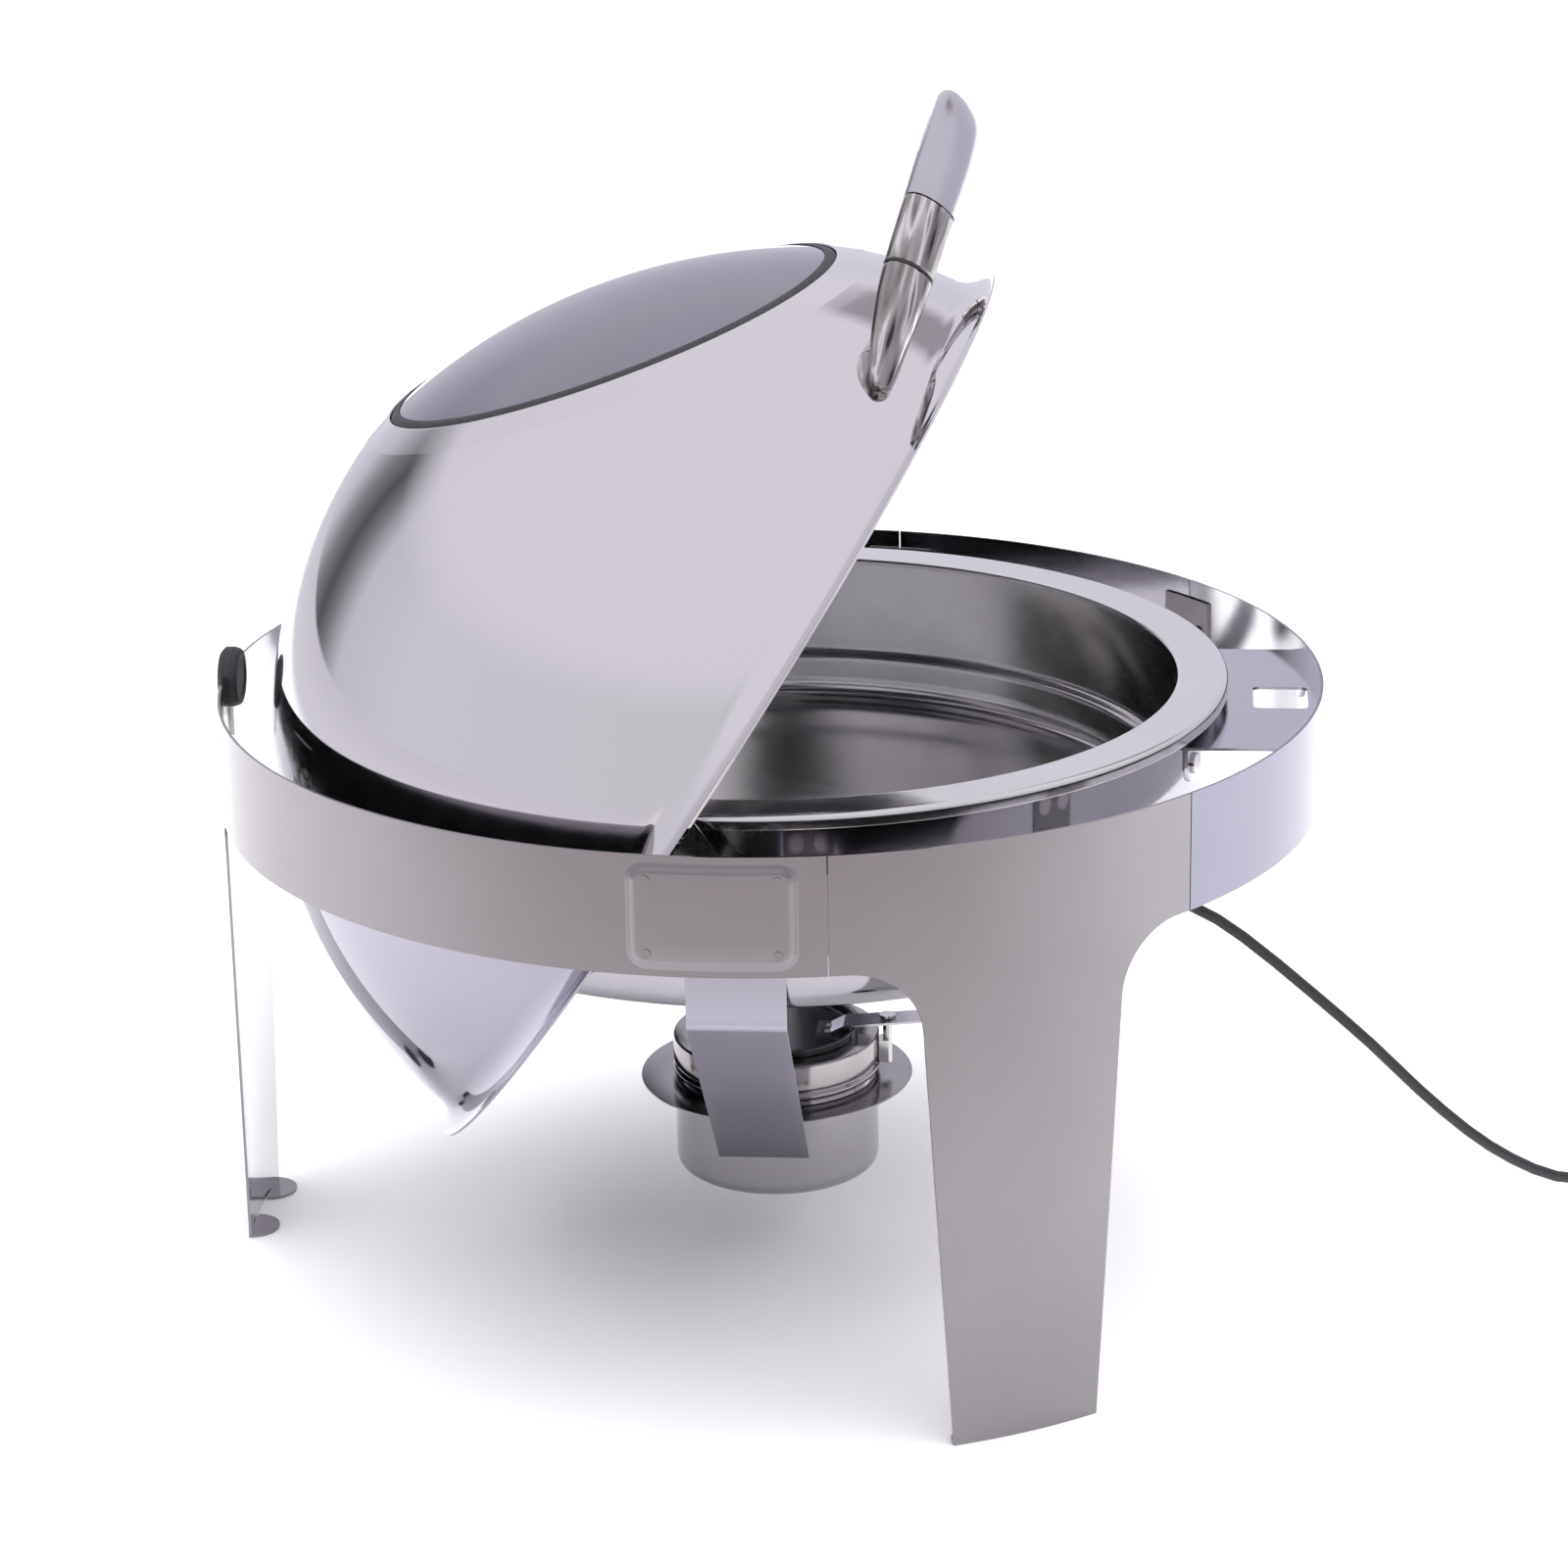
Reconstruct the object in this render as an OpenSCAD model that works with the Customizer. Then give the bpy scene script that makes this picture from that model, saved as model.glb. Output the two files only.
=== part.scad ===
// Round roll-top chafer: a three-legged ring stand, a water pan, a food pan, a rolling lid with a
// window and a bow handle, an electric heater with its lead, and a fuel burner on two strips.
// Front is -Y, up is +Z, and the origin is on the floor under the middle of the ring.

/* [Stand] */
// Outer radius of the ring
ring_r = 235; // [190:1:290]
// Thickness of the stand's sheet metal
sheet = 1.2; // [1:0.1:1.6]
// Height of the ring's band
band_h = 49; // [40:1:60]
// Depth of the lid's pivot under the ring's top edge
pivot_drop = 24.8; // [22:0.1:28]
// Offset of the lid's pivot behind the middle of the ring
pivot_y = 4; // [0:0.5:6]
// Room between the fully open lid and the floor
floor_gap = 9.3; // [8:0.1:60]
// Width of a leg at its foot
foot_w = 64.5; // [50:0.5:75]
// Width of a leg under the band's fillets
leg_top_w = 87; // [80:1:100]
// Radius of the fillets between a leg and the band
leg_fillet = 29; // [15:1:34]
// Half of the angle that a leg's panel takes of the band
panel_half_deg = 19.7; // [18:0.1:24]
// Radius of a foot tab
foot_tab_r = 11.5; // [6:0.5:14]

/* [Lid] */
// Room between the ring and the lid's dome
lid_gap = 24.3; // [22:0.1:30]
// Thickness of the lid's sheet
lid_t = 1; // [0.8:0.1:1.5]
// Distance from the pivot up to the lid's rim
rim_h = 23; // [20:0.5:26]
// How far the rim flares out from the dome
lip_flare = 8.7; // [6:0.1:10]
// How far the lid stands open at rest, from level
lid_open = 56.8; // [0:0.1:90]
// Tilt of the window towards the front
window_tilt = 37.7; // [30:0.1:42]
// Radius of the opening for the window
window_r = 100; // [70:1:110]
// Width of the flat seat around the window
seat_w = 12.3; // [8:0.1:16]
// Height of the glass's crown
glass_crown = 19; // [10:0.5:24]
// Thickness of the glass
glass_t = 4; // [3:0.5:6]

/* [Handle] */
// Half of the distance between the tips of the handle's feet
handle_half = 103; // [80:1:105]
// Width of the grip
grip_w = 26; // [16:0.5:28]
// Thickness of the grip
grip_t = 13; // [9:0.5:15]

/* [Pans] */
// Room between the dome and the food pan's rim
pan_gap = 14.5; // [13.5:0.5:20]
// Width of the food pan's flat rim
pan_rim_w = 22; // [16:0.5:26]
// Depth of the food pan
pan_depth = 65; // [40:1:70]
// Height of the food pan's rim over the ring
pan_rise = 2.9; // [1:0.1:5]
// Thickness of the pans' sheet
pan_t = 1; // [0.8:0.1:1.4]
// Room for water under the food pan
water_gap = 24; // [15:1:28]

/* [Burner] */
// Outer radius of the burner's holder
holder_r = 44.5; // [38:0.5:48]
// Height of the burner's holder
holder_h = 42; // [34:1:46]
// Width of the holder's flange
flange_w = 15; // [8:0.5:20]
// Width of a burner strip
strip_w = 39; // [26:0.5:42]
// Height of the burner's drum over the flange
drum_h = 18; // [14:0.5:24]

/* [Heater and lead] */
// Radius of the heater's housing
heater_r = 75; // [50:1:90]
// Height of the heater's housing
heater_h = 17; // [12:0.5:20]
// Thickness of the lead
cord_d = 5; // [4:0.5:6]

/* [Hidden] */
$fn = 64;

eps = 0.01;
big = 4 * ring_r;
steel = "silver";
satin = "gainsboro";
dark = "dimgray";
black = [0.08, 0.08, 0.09];

// The dome turns on its own centre, so the stand's height follows from the lid's reach.
ring_in = ring_r - sheet;
lid_r = ring_in - lid_gap;
lid_in = lid_r - lid_t;
lip_r = lid_r + lip_flare;
lid_reach = sqrt(lip_r * lip_r + rim_h * rim_h);
pivot_z = lid_reach + floor_gap;
ring_top = pivot_z + pivot_drop;
band_z = ring_top - band_h;
leg_angles = [-60, 60, 180];
seam_gap = 0.4;

// Pans, one inside the other
pan_rim_r = lid_r - pan_gap;
pan_in = pan_rim_r - pan_rim_w;
pan_top = ring_top + pan_rise;
pan_curl = 6;
pan_corner = 22;
rest_gap = 0.1;
water_r = pan_rim_r - 6;
water_top = pan_top - pan_t - rest_gap;
water_z = pan_top - pan_depth - water_gap;
water_corner = 25;

// Hinge, on both sides
pin_r = 4;
pin_fit = 0.05;
arm_t = 1.2;
arm_x = lid_r - 6.5;
arm_eye_r = 10;
bracket_x = ring_in - 2.8;
bracket_w = 46;
bracket_low = pivot_z - 21;
bracket_top = pivot_z + 19.5;
inner_top = pan_top - 3.5;
strip_x = bracket_x + sheet;
bolt_y = 12.2;
bolt_z = inner_top - 5;
bolt_r = 2.5;
spacer_r = 6.5;
side_play = 0.4;
cover_rise = 1.6;
cover_w = 67;
cover_h = 44;
cover_z = ring_top - 2.5 - cover_h / 2;
cover_y = pivot_y - 1.5;

// Front shelf
shelf_top = ring_top - 8;
shelf_half = 70;
slot_w = 30;
slot_l = 23;
slot_y = ring_in - 16.8;
tab_h = 18;

// Burner, hung inside the lid's sweep
holder_z = pivot_z - lid_in + 9.2;
flange_z = holder_z + holder_h;
strip_bend_z = band_z - 22;
strip_low_z = flange_z - 22;
strip_top_y = -6;
strip_low_y = 2;
tongue_w = 14;
tongue_h = 8;
holder_in = holder_r - 1;
tongue_x = holder_in - 2.2;
can_r = holder_r - 5.5;
can_z = holder_z + 1.2;
drum_r = holder_r + 0.9;
drum_z = flange_z + 1 + rest_gap;
drum_top = drum_z + drum_h;
cup_r = can_r - 1;
cover_r = drum_r - 9.4;
cover_base = drum_top + rest_gap;
post_y = -(drum_r + 3.5);
post_r = 2;
handle_end = 120;
handle_bend = cover_r - 6;
handle_rise = handle_bend - 6;
handle_seat = handle_rise - 6;

// Bumper on the back of the ring
bumper_r = 13;
bumper_t = 8.5;
bumper_y = lid_reach + pivot_y + 5.8 + bumper_t / 2;
bumper_z = ring_top - 3.5;

// Heater under the water pan, and the lead's stops
heater_z = water_z - heater_h;
gland_r = 6;
gland_l = 26;
gland_y = -heater_r;
gland_z = heater_z + 9;
cord_r = cord_d / 2;

// Window, in the frame that is tilted with it
seat_r = window_r + seat_w;
seat_h = sqrt(lid_r * lid_r - seat_r * seat_r);
sill_h = seat_h + 6.8;
gasket_w = 1.6;
gasket_h = 6;
glass_r = window_r - lid_t - gasket_w;
glass_h = sill_h - gasket_h + 1.5;
dome_r = (glass_r * glass_r + glass_crown * glass_crown) / (2 * glass_crown);

// ---------------------------------------------------------------- helpers

// Point at a polar angle from the front, at a radius
function polar(angle, r) = [r * sin(angle), -r * cos(angle)];

function unit(v) = v / norm(v);

function curve_at(p0, p1, p2, p3, t) =
    0.5 * (2 * p1 + (p2 - p0) * t + (2 * p0 - 5 * p1 + 4 * p2 - p3) * t * t
        + (3 * p1 - p0 - 3 * p2 + p3) * t * t * t);

// Smooth curve through the points, with steps between each pair
function smooth(pts, steps) = [
    for (i = [0 : len(pts) - 2])
        for (k = [0 : steps - 1])
            curve_at(
                pts[max(i - 1, 0)], pts[i], pts[i + 1], pts[min(i + 2, len(pts) - 1)], k / steps),
    pts[len(pts) - 1]
];

function tangent(pts, i) = unit(pts[min(i + 1, len(pts) - 1)] - pts[max(i - 1, 0)]);

// Ring of points around one point of a path; flat lies across the path
function ring_at(p, t, flat, a, b, sides) =
    let (u = unit(flat - (flat * t) * t), v = cross(t, u))
    [for (k = [0 : sides - 1]) p + a * cos(360 * k / sides) * u + b * sin(360 * k / sides) * v];

// Solid swept along a path, with half widths a along flat and b across it
module sweep(pts, flat, a, b, sides) {
    n = len(pts);
    rings = [for (i = [0 : n - 1]) each ring_at(pts[i], tangent(pts, i), flat, a[i], b[i], sides)];
    walls = [
        for (i = [0 : n - 2])
            for (k = [0 : sides - 1])
                let (m = (k + 1) % sides)
                each [
                    [i * sides + k, i * sides + m, (i + 1) * sides + m],
                    [i * sides + k, (i + 1) * sides + m, (i + 1) * sides + k]
                ]
    ];
    first = [for (k = [sides - 1 : -1 : 0]) k];
    last = [for (k = [0 : sides - 1]) (n - 1) * sides + k];
    polyhedron(points = rings, faces = concat([first], walls, [last]), convexity = 6);
}

module tube(r_out, r_in, h) {
    difference() {
        cylinder(r = r_out, h = h, $fn = 180);
        translate([0, 0, -1]) cylinder(r = r_in, h = h + 2, $fn = 180);
    }
}

// Wedge of the full height between two polar angles from the front, less than 170 degrees apart
module wedge(a0, a1, z0, z1) {
    reach = 2 * big;
    translate([0, 0, z0])
        linear_extrude(height = z1 - z0)
            polygon([[0, 0], polar(a0, reach), polar((a0 + a1) / 2, reach), polar(a1, reach)]);
}

module rounded_rect(w, h, r) {
    square([w - 2 * r, h], center = true);
    square([w, h - 2 * r], center = true);
    for (sx = [-1, 1])
        for (sy = [-1, 1])
            translate([sx * (w / 2 - r), sy * (h / 2 - r)]) circle(r = r);
}

// The other side of the stand
module side(s) {
    mirror([s > 0 ? 0 : 1, 0, 0]) children();
}

// From the closed lid's frame, with the pivot at its origin, to the lid at rest
module in_lid() {
    translate([0, pivot_y, pivot_z]) rotate([-lid_open, 0, 0]) children();
}

module in_window() {
    in_lid() rotate([window_tilt, 0, 0]) children();
}

// ---------------------------------------------------------------- stand

module leg_outline() {
    chord = ring_r * sin(panel_half_deg);
    top = leg_top_w / 2;
    foot = foot_w / 2;
    low = band_z - leg_fillet;
    difference() {
        polygon([
            [-foot, 0], [foot, 0], [top, low], [top + leg_fillet, low], [top + leg_fillet, band_z],
            [chord, band_z], [chord, ring_top], [-chord, ring_top], [-chord, band_z],
            [-top - leg_fillet, band_z], [-top - leg_fillet, low], [-top, low]
        ]);
        for (s = [-1, 1])
            translate([s * (top + leg_fillet), low]) circle(r = leg_fillet);
        for (s = [-1, 1])
            translate([s * (top + leg_fillet + leg_fillet / 2), low])
                square([leg_fillet, 2 * leg_fillet], center = true);
    }
}

module leg(angle) {
    tab_x = foot_w / 2 - foot_tab_r;
    rotate([0, 0, angle]) {
        intersection() {
            tube(ring_r, ring_in, ring_top);
            translate([0, -ring_r / 2, 0])
                rotate([90, 0, 0]) linear_extrude(height = ring_r) leg_outline();
        }
        intersection() {
            cylinder(r = ring_r - eps, h = sheet, $fn = 180);
            for (s = [-1, 1])
                translate([s * tab_x, -ring_in * cos(asin(tab_x / ring_in)), 0])
                    cylinder(r = foot_tab_r, h = sheet);
        }
    }
}

module leg_front_left() {
    color(steel) leg(leg_angles[0]);
}

module leg_front_right() {
    color(steel) leg(leg_angles[1]);
}

module leg_back() {
    color(steel) leg(leg_angles[2]);
}

module rail(middle) {
    gap_deg = seam_gap / ring_r * 180 / PI;
    half = 60 - panel_half_deg - gap_deg;
    intersection() {
        translate([0, 0, band_z]) tube(ring_r, ring_in, band_h);
        wedge(middle - half, middle + half, 0, ring_top);
    }
}

module rail_front() {
    color(steel) rail(0);
}

module rail_left() {
    color(steel) rail(-120);
}

module rail_right() {
    color(steel) rail(120);
}

seam_angles = [for (a = leg_angles) for (s = [-1, 1]) a + s * panel_half_deg];
plate_half_deg = 3.6;
plate_h = band_h - 16;
stud_r = 2.2;

module seam_plates() {
    color(steel)
        for (a = seam_angles)
            difference() {
                intersection() {
                    translate([0, 0, band_z + 8]) tube(ring_in, ring_in - sheet, plate_h);
                    wedge(a - plate_half_deg, a + plate_half_deg, 0, ring_top);
                }
                seam_studs(a, 0);
            }
}

module seam_studs(a, head) {
    for (s = [-1, 1])
        rotate([0, 0, a + s * plate_half_deg / 2])
            translate([0, -ring_in - 1, band_z + band_h / 2])
                rotate([-90, 0, 0]) {
                    cylinder(r = stud_r, h = sheet + 2);
                    if (head > 0)
                        translate([0, 0, sheet + 1.1]) cylinder(r = 2 * stud_r, h = head);
                }
}

module seam_rivets() {
    color(steel)
        intersection() {
            for (a = seam_angles) seam_studs(a, 1.2);
            cylinder(r = ring_in, h = ring_top, $fn = 180);
        }
}

module cover_turn() {
    rotate([0, 0, asin(cover_y / ring_r)]) children();
}

module hinge_cover() {
    cover_turn()
        intersection() {
            tube(ring_r + cover_rise, ring_r, ring_top);
            translate([0, 0, cover_z])
                rotate([90, 0, 90])
                    linear_extrude(height = big) rounded_rect(cover_w, cover_h, 8);
        }
}

module hinge_cover_left() {
    color(steel) side(-1) hinge_cover();
}

module hinge_cover_right() {
    color(steel) side(1) hinge_cover();
}

module hinge_cover_rivets() {
    color(steel)
        for (s = [-1, 1])
            side(s) cover_turn()
                intersection() {
                    tube(ring_r + cover_rise + 0.5, ring_r + cover_rise, ring_top);
                    for (sy = [-1, 1])
                        for (sz = [-1, 1])
                            translate([0, sy * (cover_w / 2 - 8), cover_z + sz * (cover_h / 2 - 7)])
                                rotate([0, 90, 0]) cylinder(r = 2, h = big);
                }
}

// ---------------------------------------------------------------- hinge

// Channel between the ring and the water pan, with the pin across it
module hinge_bracket() {
    inner_x = water_r;
    difference() {
        translate([0, pivot_y, 0])
            rotate([90, 0, 0])
                linear_extrude(height = bracket_w, center = true)
                    polygon([
                        [bracket_x, bracket_top], [bracket_x, bracket_low],
                        [inner_x, bracket_low], [inner_x, inner_top],
                        [inner_x + sheet, inner_top], [inner_x + sheet, bracket_low + sheet],
                        [bracket_x - sheet, bracket_low + sheet], [bracket_x - sheet, bracket_top]
                    ]);
        translate([0, pivot_y, pivot_z]) rotate([0, 90, 0]) cylinder(r = pin_r, h = big);
        for (s = [-1, 1])
            translate([0, pivot_y + s * bolt_y, bolt_z])
                rotate([0, 90, 0]) cylinder(r = bolt_r, h = inner_x + 5);
    }
}

module hinge_bracket_left() {
    color(steel) side(-1) hinge_bracket();
}

module hinge_bracket_right() {
    color(steel) side(1) hinge_bracket();
}

module hinge_pin() {
    translate([water_r, pivot_y, pivot_z])
        rotate([0, 90, 0]) cylinder(r = pin_r, h = bracket_x - water_r);
}

module hinge_pin_left() {
    color(steel) side(-1) hinge_pin();
}

module hinge_pin_right() {
    color(steel) side(1) hinge_pin();
}

module spacer(x0, x1) {
    translate([x0, pivot_y, pivot_z])
        rotate([0, 90, 0])
            difference() {
                cylinder(r = spacer_r, h = x1 - x0);
                translate([0, 0, -1]) cylinder(r = pin_r, h = x1 - x0 + 2);
            }
}

module hinge_spacers() {
    color(steel)
        for (s = [-1, 1])
            side(s) {
                spacer(water_r + sheet, arm_x - arm_t - side_play);
                spacer(arm_x + side_play, bracket_x - sheet);
            }
}

// ---------------------------------------------------------------- shelf and pans

module shelf_tab(x, r_in) {
    bottom = shelf_top - tab_h;
    intersection() {
        translate([0, 0, bottom]) tube(r_in + sheet, r_in, tab_h);
        translate([x, 0, 0])
            rotate([90, 0, 0])
                linear_extrude(height = big) {
                    translate([0, bottom + 8]) circle(r = 8);
                    translate([-8, bottom + 8]) square([16, tab_h]);
                }
    }
}

shelf_tab_x = shelf_half - 11;
shelf_in = water_r;
shelf_out = ring_in - sheet;

module shelf_rivet_holes(extra) {
    for (s = [-1, 1]) {
        a = asin(shelf_tab_x / shelf_in);
        rotate([0, 0, s * a])
            translate([0, -shelf_in + pan_t, shelf_top - tab_h + 8])
                rotate([90, 0, 0]) {
                    cylinder(r = stud_r, h = pan_t + sheet + 0.1);
                    if (extra > 0)
                        translate([0, 0, pan_t + sheet + 0.1]) cylinder(r = 2 * stud_r, h = extra);
                }
        b = asin(shelf_tab_x / shelf_out);
        rotate([0, 0, s * b])
            translate([0, -ring_in - 1, shelf_top - tab_h + 8])
                rotate([-90, 0, 0]) {
                    cylinder(r = stud_r, h = sheet + 1.2);
                    if (extra > 0)
                        translate([0, 0, sheet + 1.1]) cylinder(r = 2 * stud_r, h = extra);
                }
    }
}

module front_shelf() {
    color(steel)
        difference() {
            union() {
                intersection() {
                    translate([0, 0, shelf_top - sheet]) tube(ring_in, shelf_in, sheet);
                    translate([-shelf_half, -big, 0]) cube([2 * shelf_half, big, ring_top]);
                }
                for (s = [-1, 1]) {
                    shelf_tab(s * shelf_tab_x, shelf_in);
                    shelf_tab(s * shelf_tab_x, shelf_out);
                }
            }
            translate([0, -slot_y, shelf_top])
                linear_extrude(height = 3 * sheet, center = true) rounded_rect(slot_w, slot_l, 3);
            shelf_rivet_holes(0);
        }
}

module shelf_rivets() {
    color(steel)
        intersection() {
            shelf_rivet_holes(1.2);
            cylinder(r = ring_in, h = ring_top, $fn = 180);
        }
}

// Solid half section with a round lower corner
module vessel(r, z0, z1, corner) {
    translate([0, z0]) square([r - corner, z1 - z0]);
    translate([0, z0 + corner]) square([r, z1 - z0 - corner]);
    translate([r - corner, z0 + corner]) circle(r = corner);
}

// Half section of the vessel's wall
module vessel_wall(r, z0, z1, corner, t) {
    difference() {
        vessel(r, z0, z1, corner);
        translate([0, t]) vessel(r - t, z0, z1, corner - t);
    }
}

module water_pan() {
    color(steel)
        difference() {
            rotate_extrude($fn = 180)
                vessel_wall(water_r, water_z, water_top, water_corner, pan_t);
            for (s = [-1, 1])
                side(s)
                    for (t = [-1, 1])
                        translate([0, pivot_y + t * bolt_y, bolt_z])
                            rotate([0, 90, 0]) cylinder(r = bolt_r, h = big);
            shelf_rivet_holes(0);
        }
}

module pan_bolts() {
    inside = water_r * cos(asin((bolt_y + pivot_y) / water_r)) - pan_t - 2;
    color(steel)
        for (s = [-1, 1])
            side(s)
                for (t = [-1, 1])
                    translate([inside, pivot_y + t * bolt_y, bolt_z])
                        rotate([0, 90, 0]) {
                            cylinder(r = bolt_r, h = water_r + sheet - inside);
                            translate([0, 0, water_r + sheet - inside])
                                cylinder(r = 2 * bolt_r, h = 2);
                        }
}

step_r = pan_in - 6;
step_z = pan_top - pan_depth + 20;

// The food pan's cavity, or the cavity and its wall when it grows by the wall's thickness
module food_cavity(grow) {
    translate([0, step_z - grow]) square([pan_in + grow, pan_top - step_z + 1]);
    vessel(step_r + grow, pan_top - pan_depth - grow, step_z + 1, pan_corner + grow);
}

module food_pan() {
    curl_r = 3;
    centre = [pan_rim_r - curl_r, pan_top - curl_r];
    low = pan_top - pan_curl;
    color(satin)
        rotate_extrude($fn = 180) {
            difference() {
                intersection() {
                    food_cavity(pan_t);
                    square([ring_r, pan_top]);
                }
                food_cavity(0);
            }
            polygon(concat(
                [[pan_in + pan_t / 2, pan_top]],
                [for (a = [90 : -15 : 0]) centre + curl_r * [cos(a), sin(a)]],
                [[pan_rim_r, low], [pan_rim_r - pan_t, low]],
                [for (a = [0 : 15 : 90]) centre + (curl_r - pan_t) * [cos(a), sin(a)]],
                [[pan_in + pan_t / 2, pan_top - pan_t]]
            ));
        }
}

// ---------------------------------------------------------------- burner frame

// Strip that hangs behind the hinge's cover and slants down to the holder
module burner_strip() {
    top = pivot_z + 12;
    edge = 0.7;
    translate([strip_x - sheet, strip_top_y - strip_w / 2, strip_bend_z])
        cube([sheet, strip_w, top - strip_bend_z]);
    hull() {
        translate([strip_x - sheet, strip_top_y - strip_w / 2, strip_bend_z])
            cube([sheet, strip_w, edge]);
        translate([holder_r, strip_low_y - strip_w / 2, strip_low_z]) cube([sheet, strip_w, edge]);
    }
    translate([tongue_x, -tongue_w / 2, strip_low_z])
        cube([holder_r + sheet / 2 - tongue_x, tongue_w, sheet]);
    translate([tongue_x, -tongue_w / 2, strip_low_z - tongue_h])
        cube([sheet, tongue_w, tongue_h + eps]);
}

module burner_strip_left() {
    color(satin) side(-1) burner_strip();
}

module burner_strip_right() {
    color(satin) side(1) burner_strip();
}

module burner_holder() {
    color(satin)
        difference() {
            rotate_extrude($fn = 120) {
                vessel_wall(holder_r, holder_z, flange_z, 6, 1);
                translate([holder_in, flange_z - 1]) square([flange_w + 1, 1]);
            }
            for (s = [-1, 1])
                side(s)
                    translate([holder_in - 3, -tongue_w / 2, strip_low_z])
                        cube([6, tongue_w, sheet]);
        }
}

// ---------------------------------------------------------------- bumper

module bumper() {
    color(black)
        difference() {
            translate([0, bumper_y, bumper_z])
                rotate([90, 0, 0]) cylinder(r = bumper_r, h = bumper_t, center = true);
            tube(ring_r, ring_in, ring_top);
            clip_body();
        }
}

module clip_body() {
    low = bumper_z - bumper_r - 12;
    difference() {
        intersection() {
            translate([0, 0, low]) tube(ring_r + sheet, ring_in - sheet, ring_top + sheet - low);
            translate([-5, 0, 0]) cube([10, big, big]);
        }
        tube(ring_r, ring_in, ring_top);
    }
}

module bumper_clip() {
    color(steel) clip_body();
}

// ---------------------------------------------------------------- heater and lead

module heater_housing() {
    color(dark)
        difference() {
            translate([0, 0, heater_z]) cylinder(r = heater_r, h = heater_h);
            translate([0, 0, heater_z + 2]) cylinder(r = heater_r - 2, h = heater_h - 4);
            translate([0, gland_y + 10, gland_z]) rotate([90, 0, 0]) cylinder(r = cord_r, h = 20);
            for (a = [45 : 90 : 315])
                rotate([0, 0, a])
                    translate([heater_r - 12, 0, heater_z - 1]) cylinder(r = 2, h = 3.5);
        }
}

module heater_screws() {
    color(steel)
        for (a = [45 : 90 : 315])
            rotate([0, 0, a])
                translate([heater_r - 12, 0, heater_z - 1.5]) {
                    cylinder(r = 3.6, h = 1.5);
                    cylinder(r = 2, h = 4);
                }
}

module cord_gland() {
    color(black)
        translate([0, gland_y, gland_z])
            rotate([90, 0, 0])
                difference() {
                    rotate_extrude()
                        polygon([
                            [0, -0.2], [gland_r + 2, -0.2], [gland_r + 2, 3], [gland_r, 4],
                            [cord_r + 1.2, gland_l], [0, gland_l]
                        ]);
                    translate([0, 0, -1]) cylinder(r = cord_r, h = gland_l + 2);
                }
}

// The lead's route from the gland, over the floor, to the coil outside the front of the stand
cord_pts = [
    [0, -101, 159.4], [0, -112, 159.3], [1, -132, 158.5], [3, -156, 156], [6, -181, 148.5],
    [10, -203, 133.5], [15, -233, 106.5], [20, -260, 80.5], [25, -282, 57], [30, -304, 36],
    [36, -324, 20.5], [44, -345, 8.7], [54, -366, 4], [64, -387, 2.7], [71, -405, 2.7],
    [74.6, -419, 2.7], [75.4, -431, 2.7]
];
coil_c = [107, -431, 0];
coil_mid = 29;
coil_half_w = 5.2;
coil_h = 15.4;
coil_end = 144;

module cord() {
    path = smooth(cord_pts, 3);
    n = len(path);
    half = [for (i = [0 : n - 1]) cord_r];
    color(black) sweep(path, [1, 0, 0], half, half, 8);
}

module cord_coil() {
    color(black)
        translate(coil_c)
            rotate_extrude()
                translate([coil_mid - coil_half_w, 0]) square([2 * coil_half_w, coil_h]);
}

module cord_tie() {
    tie_w = 6;
    tie_t = 1.2;
    color(dark)
        translate(coil_c)
            rotate([0, 0, 60])
                translate([coil_mid, 0, coil_h / 2])
                    rotate([90, 0, 0])
                        difference() {
                            translate([0, tie_t / 2, 0])
                                cube([2 * coil_half_w + 2 * tie_t, coil_h + tie_t, tie_w], center = true);
                            cube([2 * coil_half_w, coil_h, 2 * tie_w], center = true);
                        }
}

// The plug's frame: where the last turn leaves the coil straight on, with +Y towards the pins
module at_plug() {
    out = coil_mid + coil_half_w / 2;
    translate(coil_c)
        rotate([0, 0, 180 + coil_end])
            translate([out, 0, coil_h - cord_r]) children();
}

lead_out = 31;
plug_l = 40;
plug_half = 12.8;

module plug() {
    color(black)
        at_plug()
            translate([-plug_half, lead_out, -plug_half])
                cube([2 * plug_half, plug_l, 2 * plug_half]);
}

module plug_pins() {
    color(steel)
        at_plug()
            for (s = [-1, 1])
                translate([s * 8, lead_out + plug_l, 0])
                    rotate([-90, 0, 0]) cylinder(r = 2.2, h = 18);
}

// ---------------------------------------------------------------- lid

flare_h = rim_h + lip_flare + 4;

// Half section of the rolled lip, from the dome's wall out to the rim
function lip_arc(bend, drop, angles) =
    [for (a = angles) [lip_r - bend * cos(a), flare_h - drop * sin(a)]];

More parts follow.
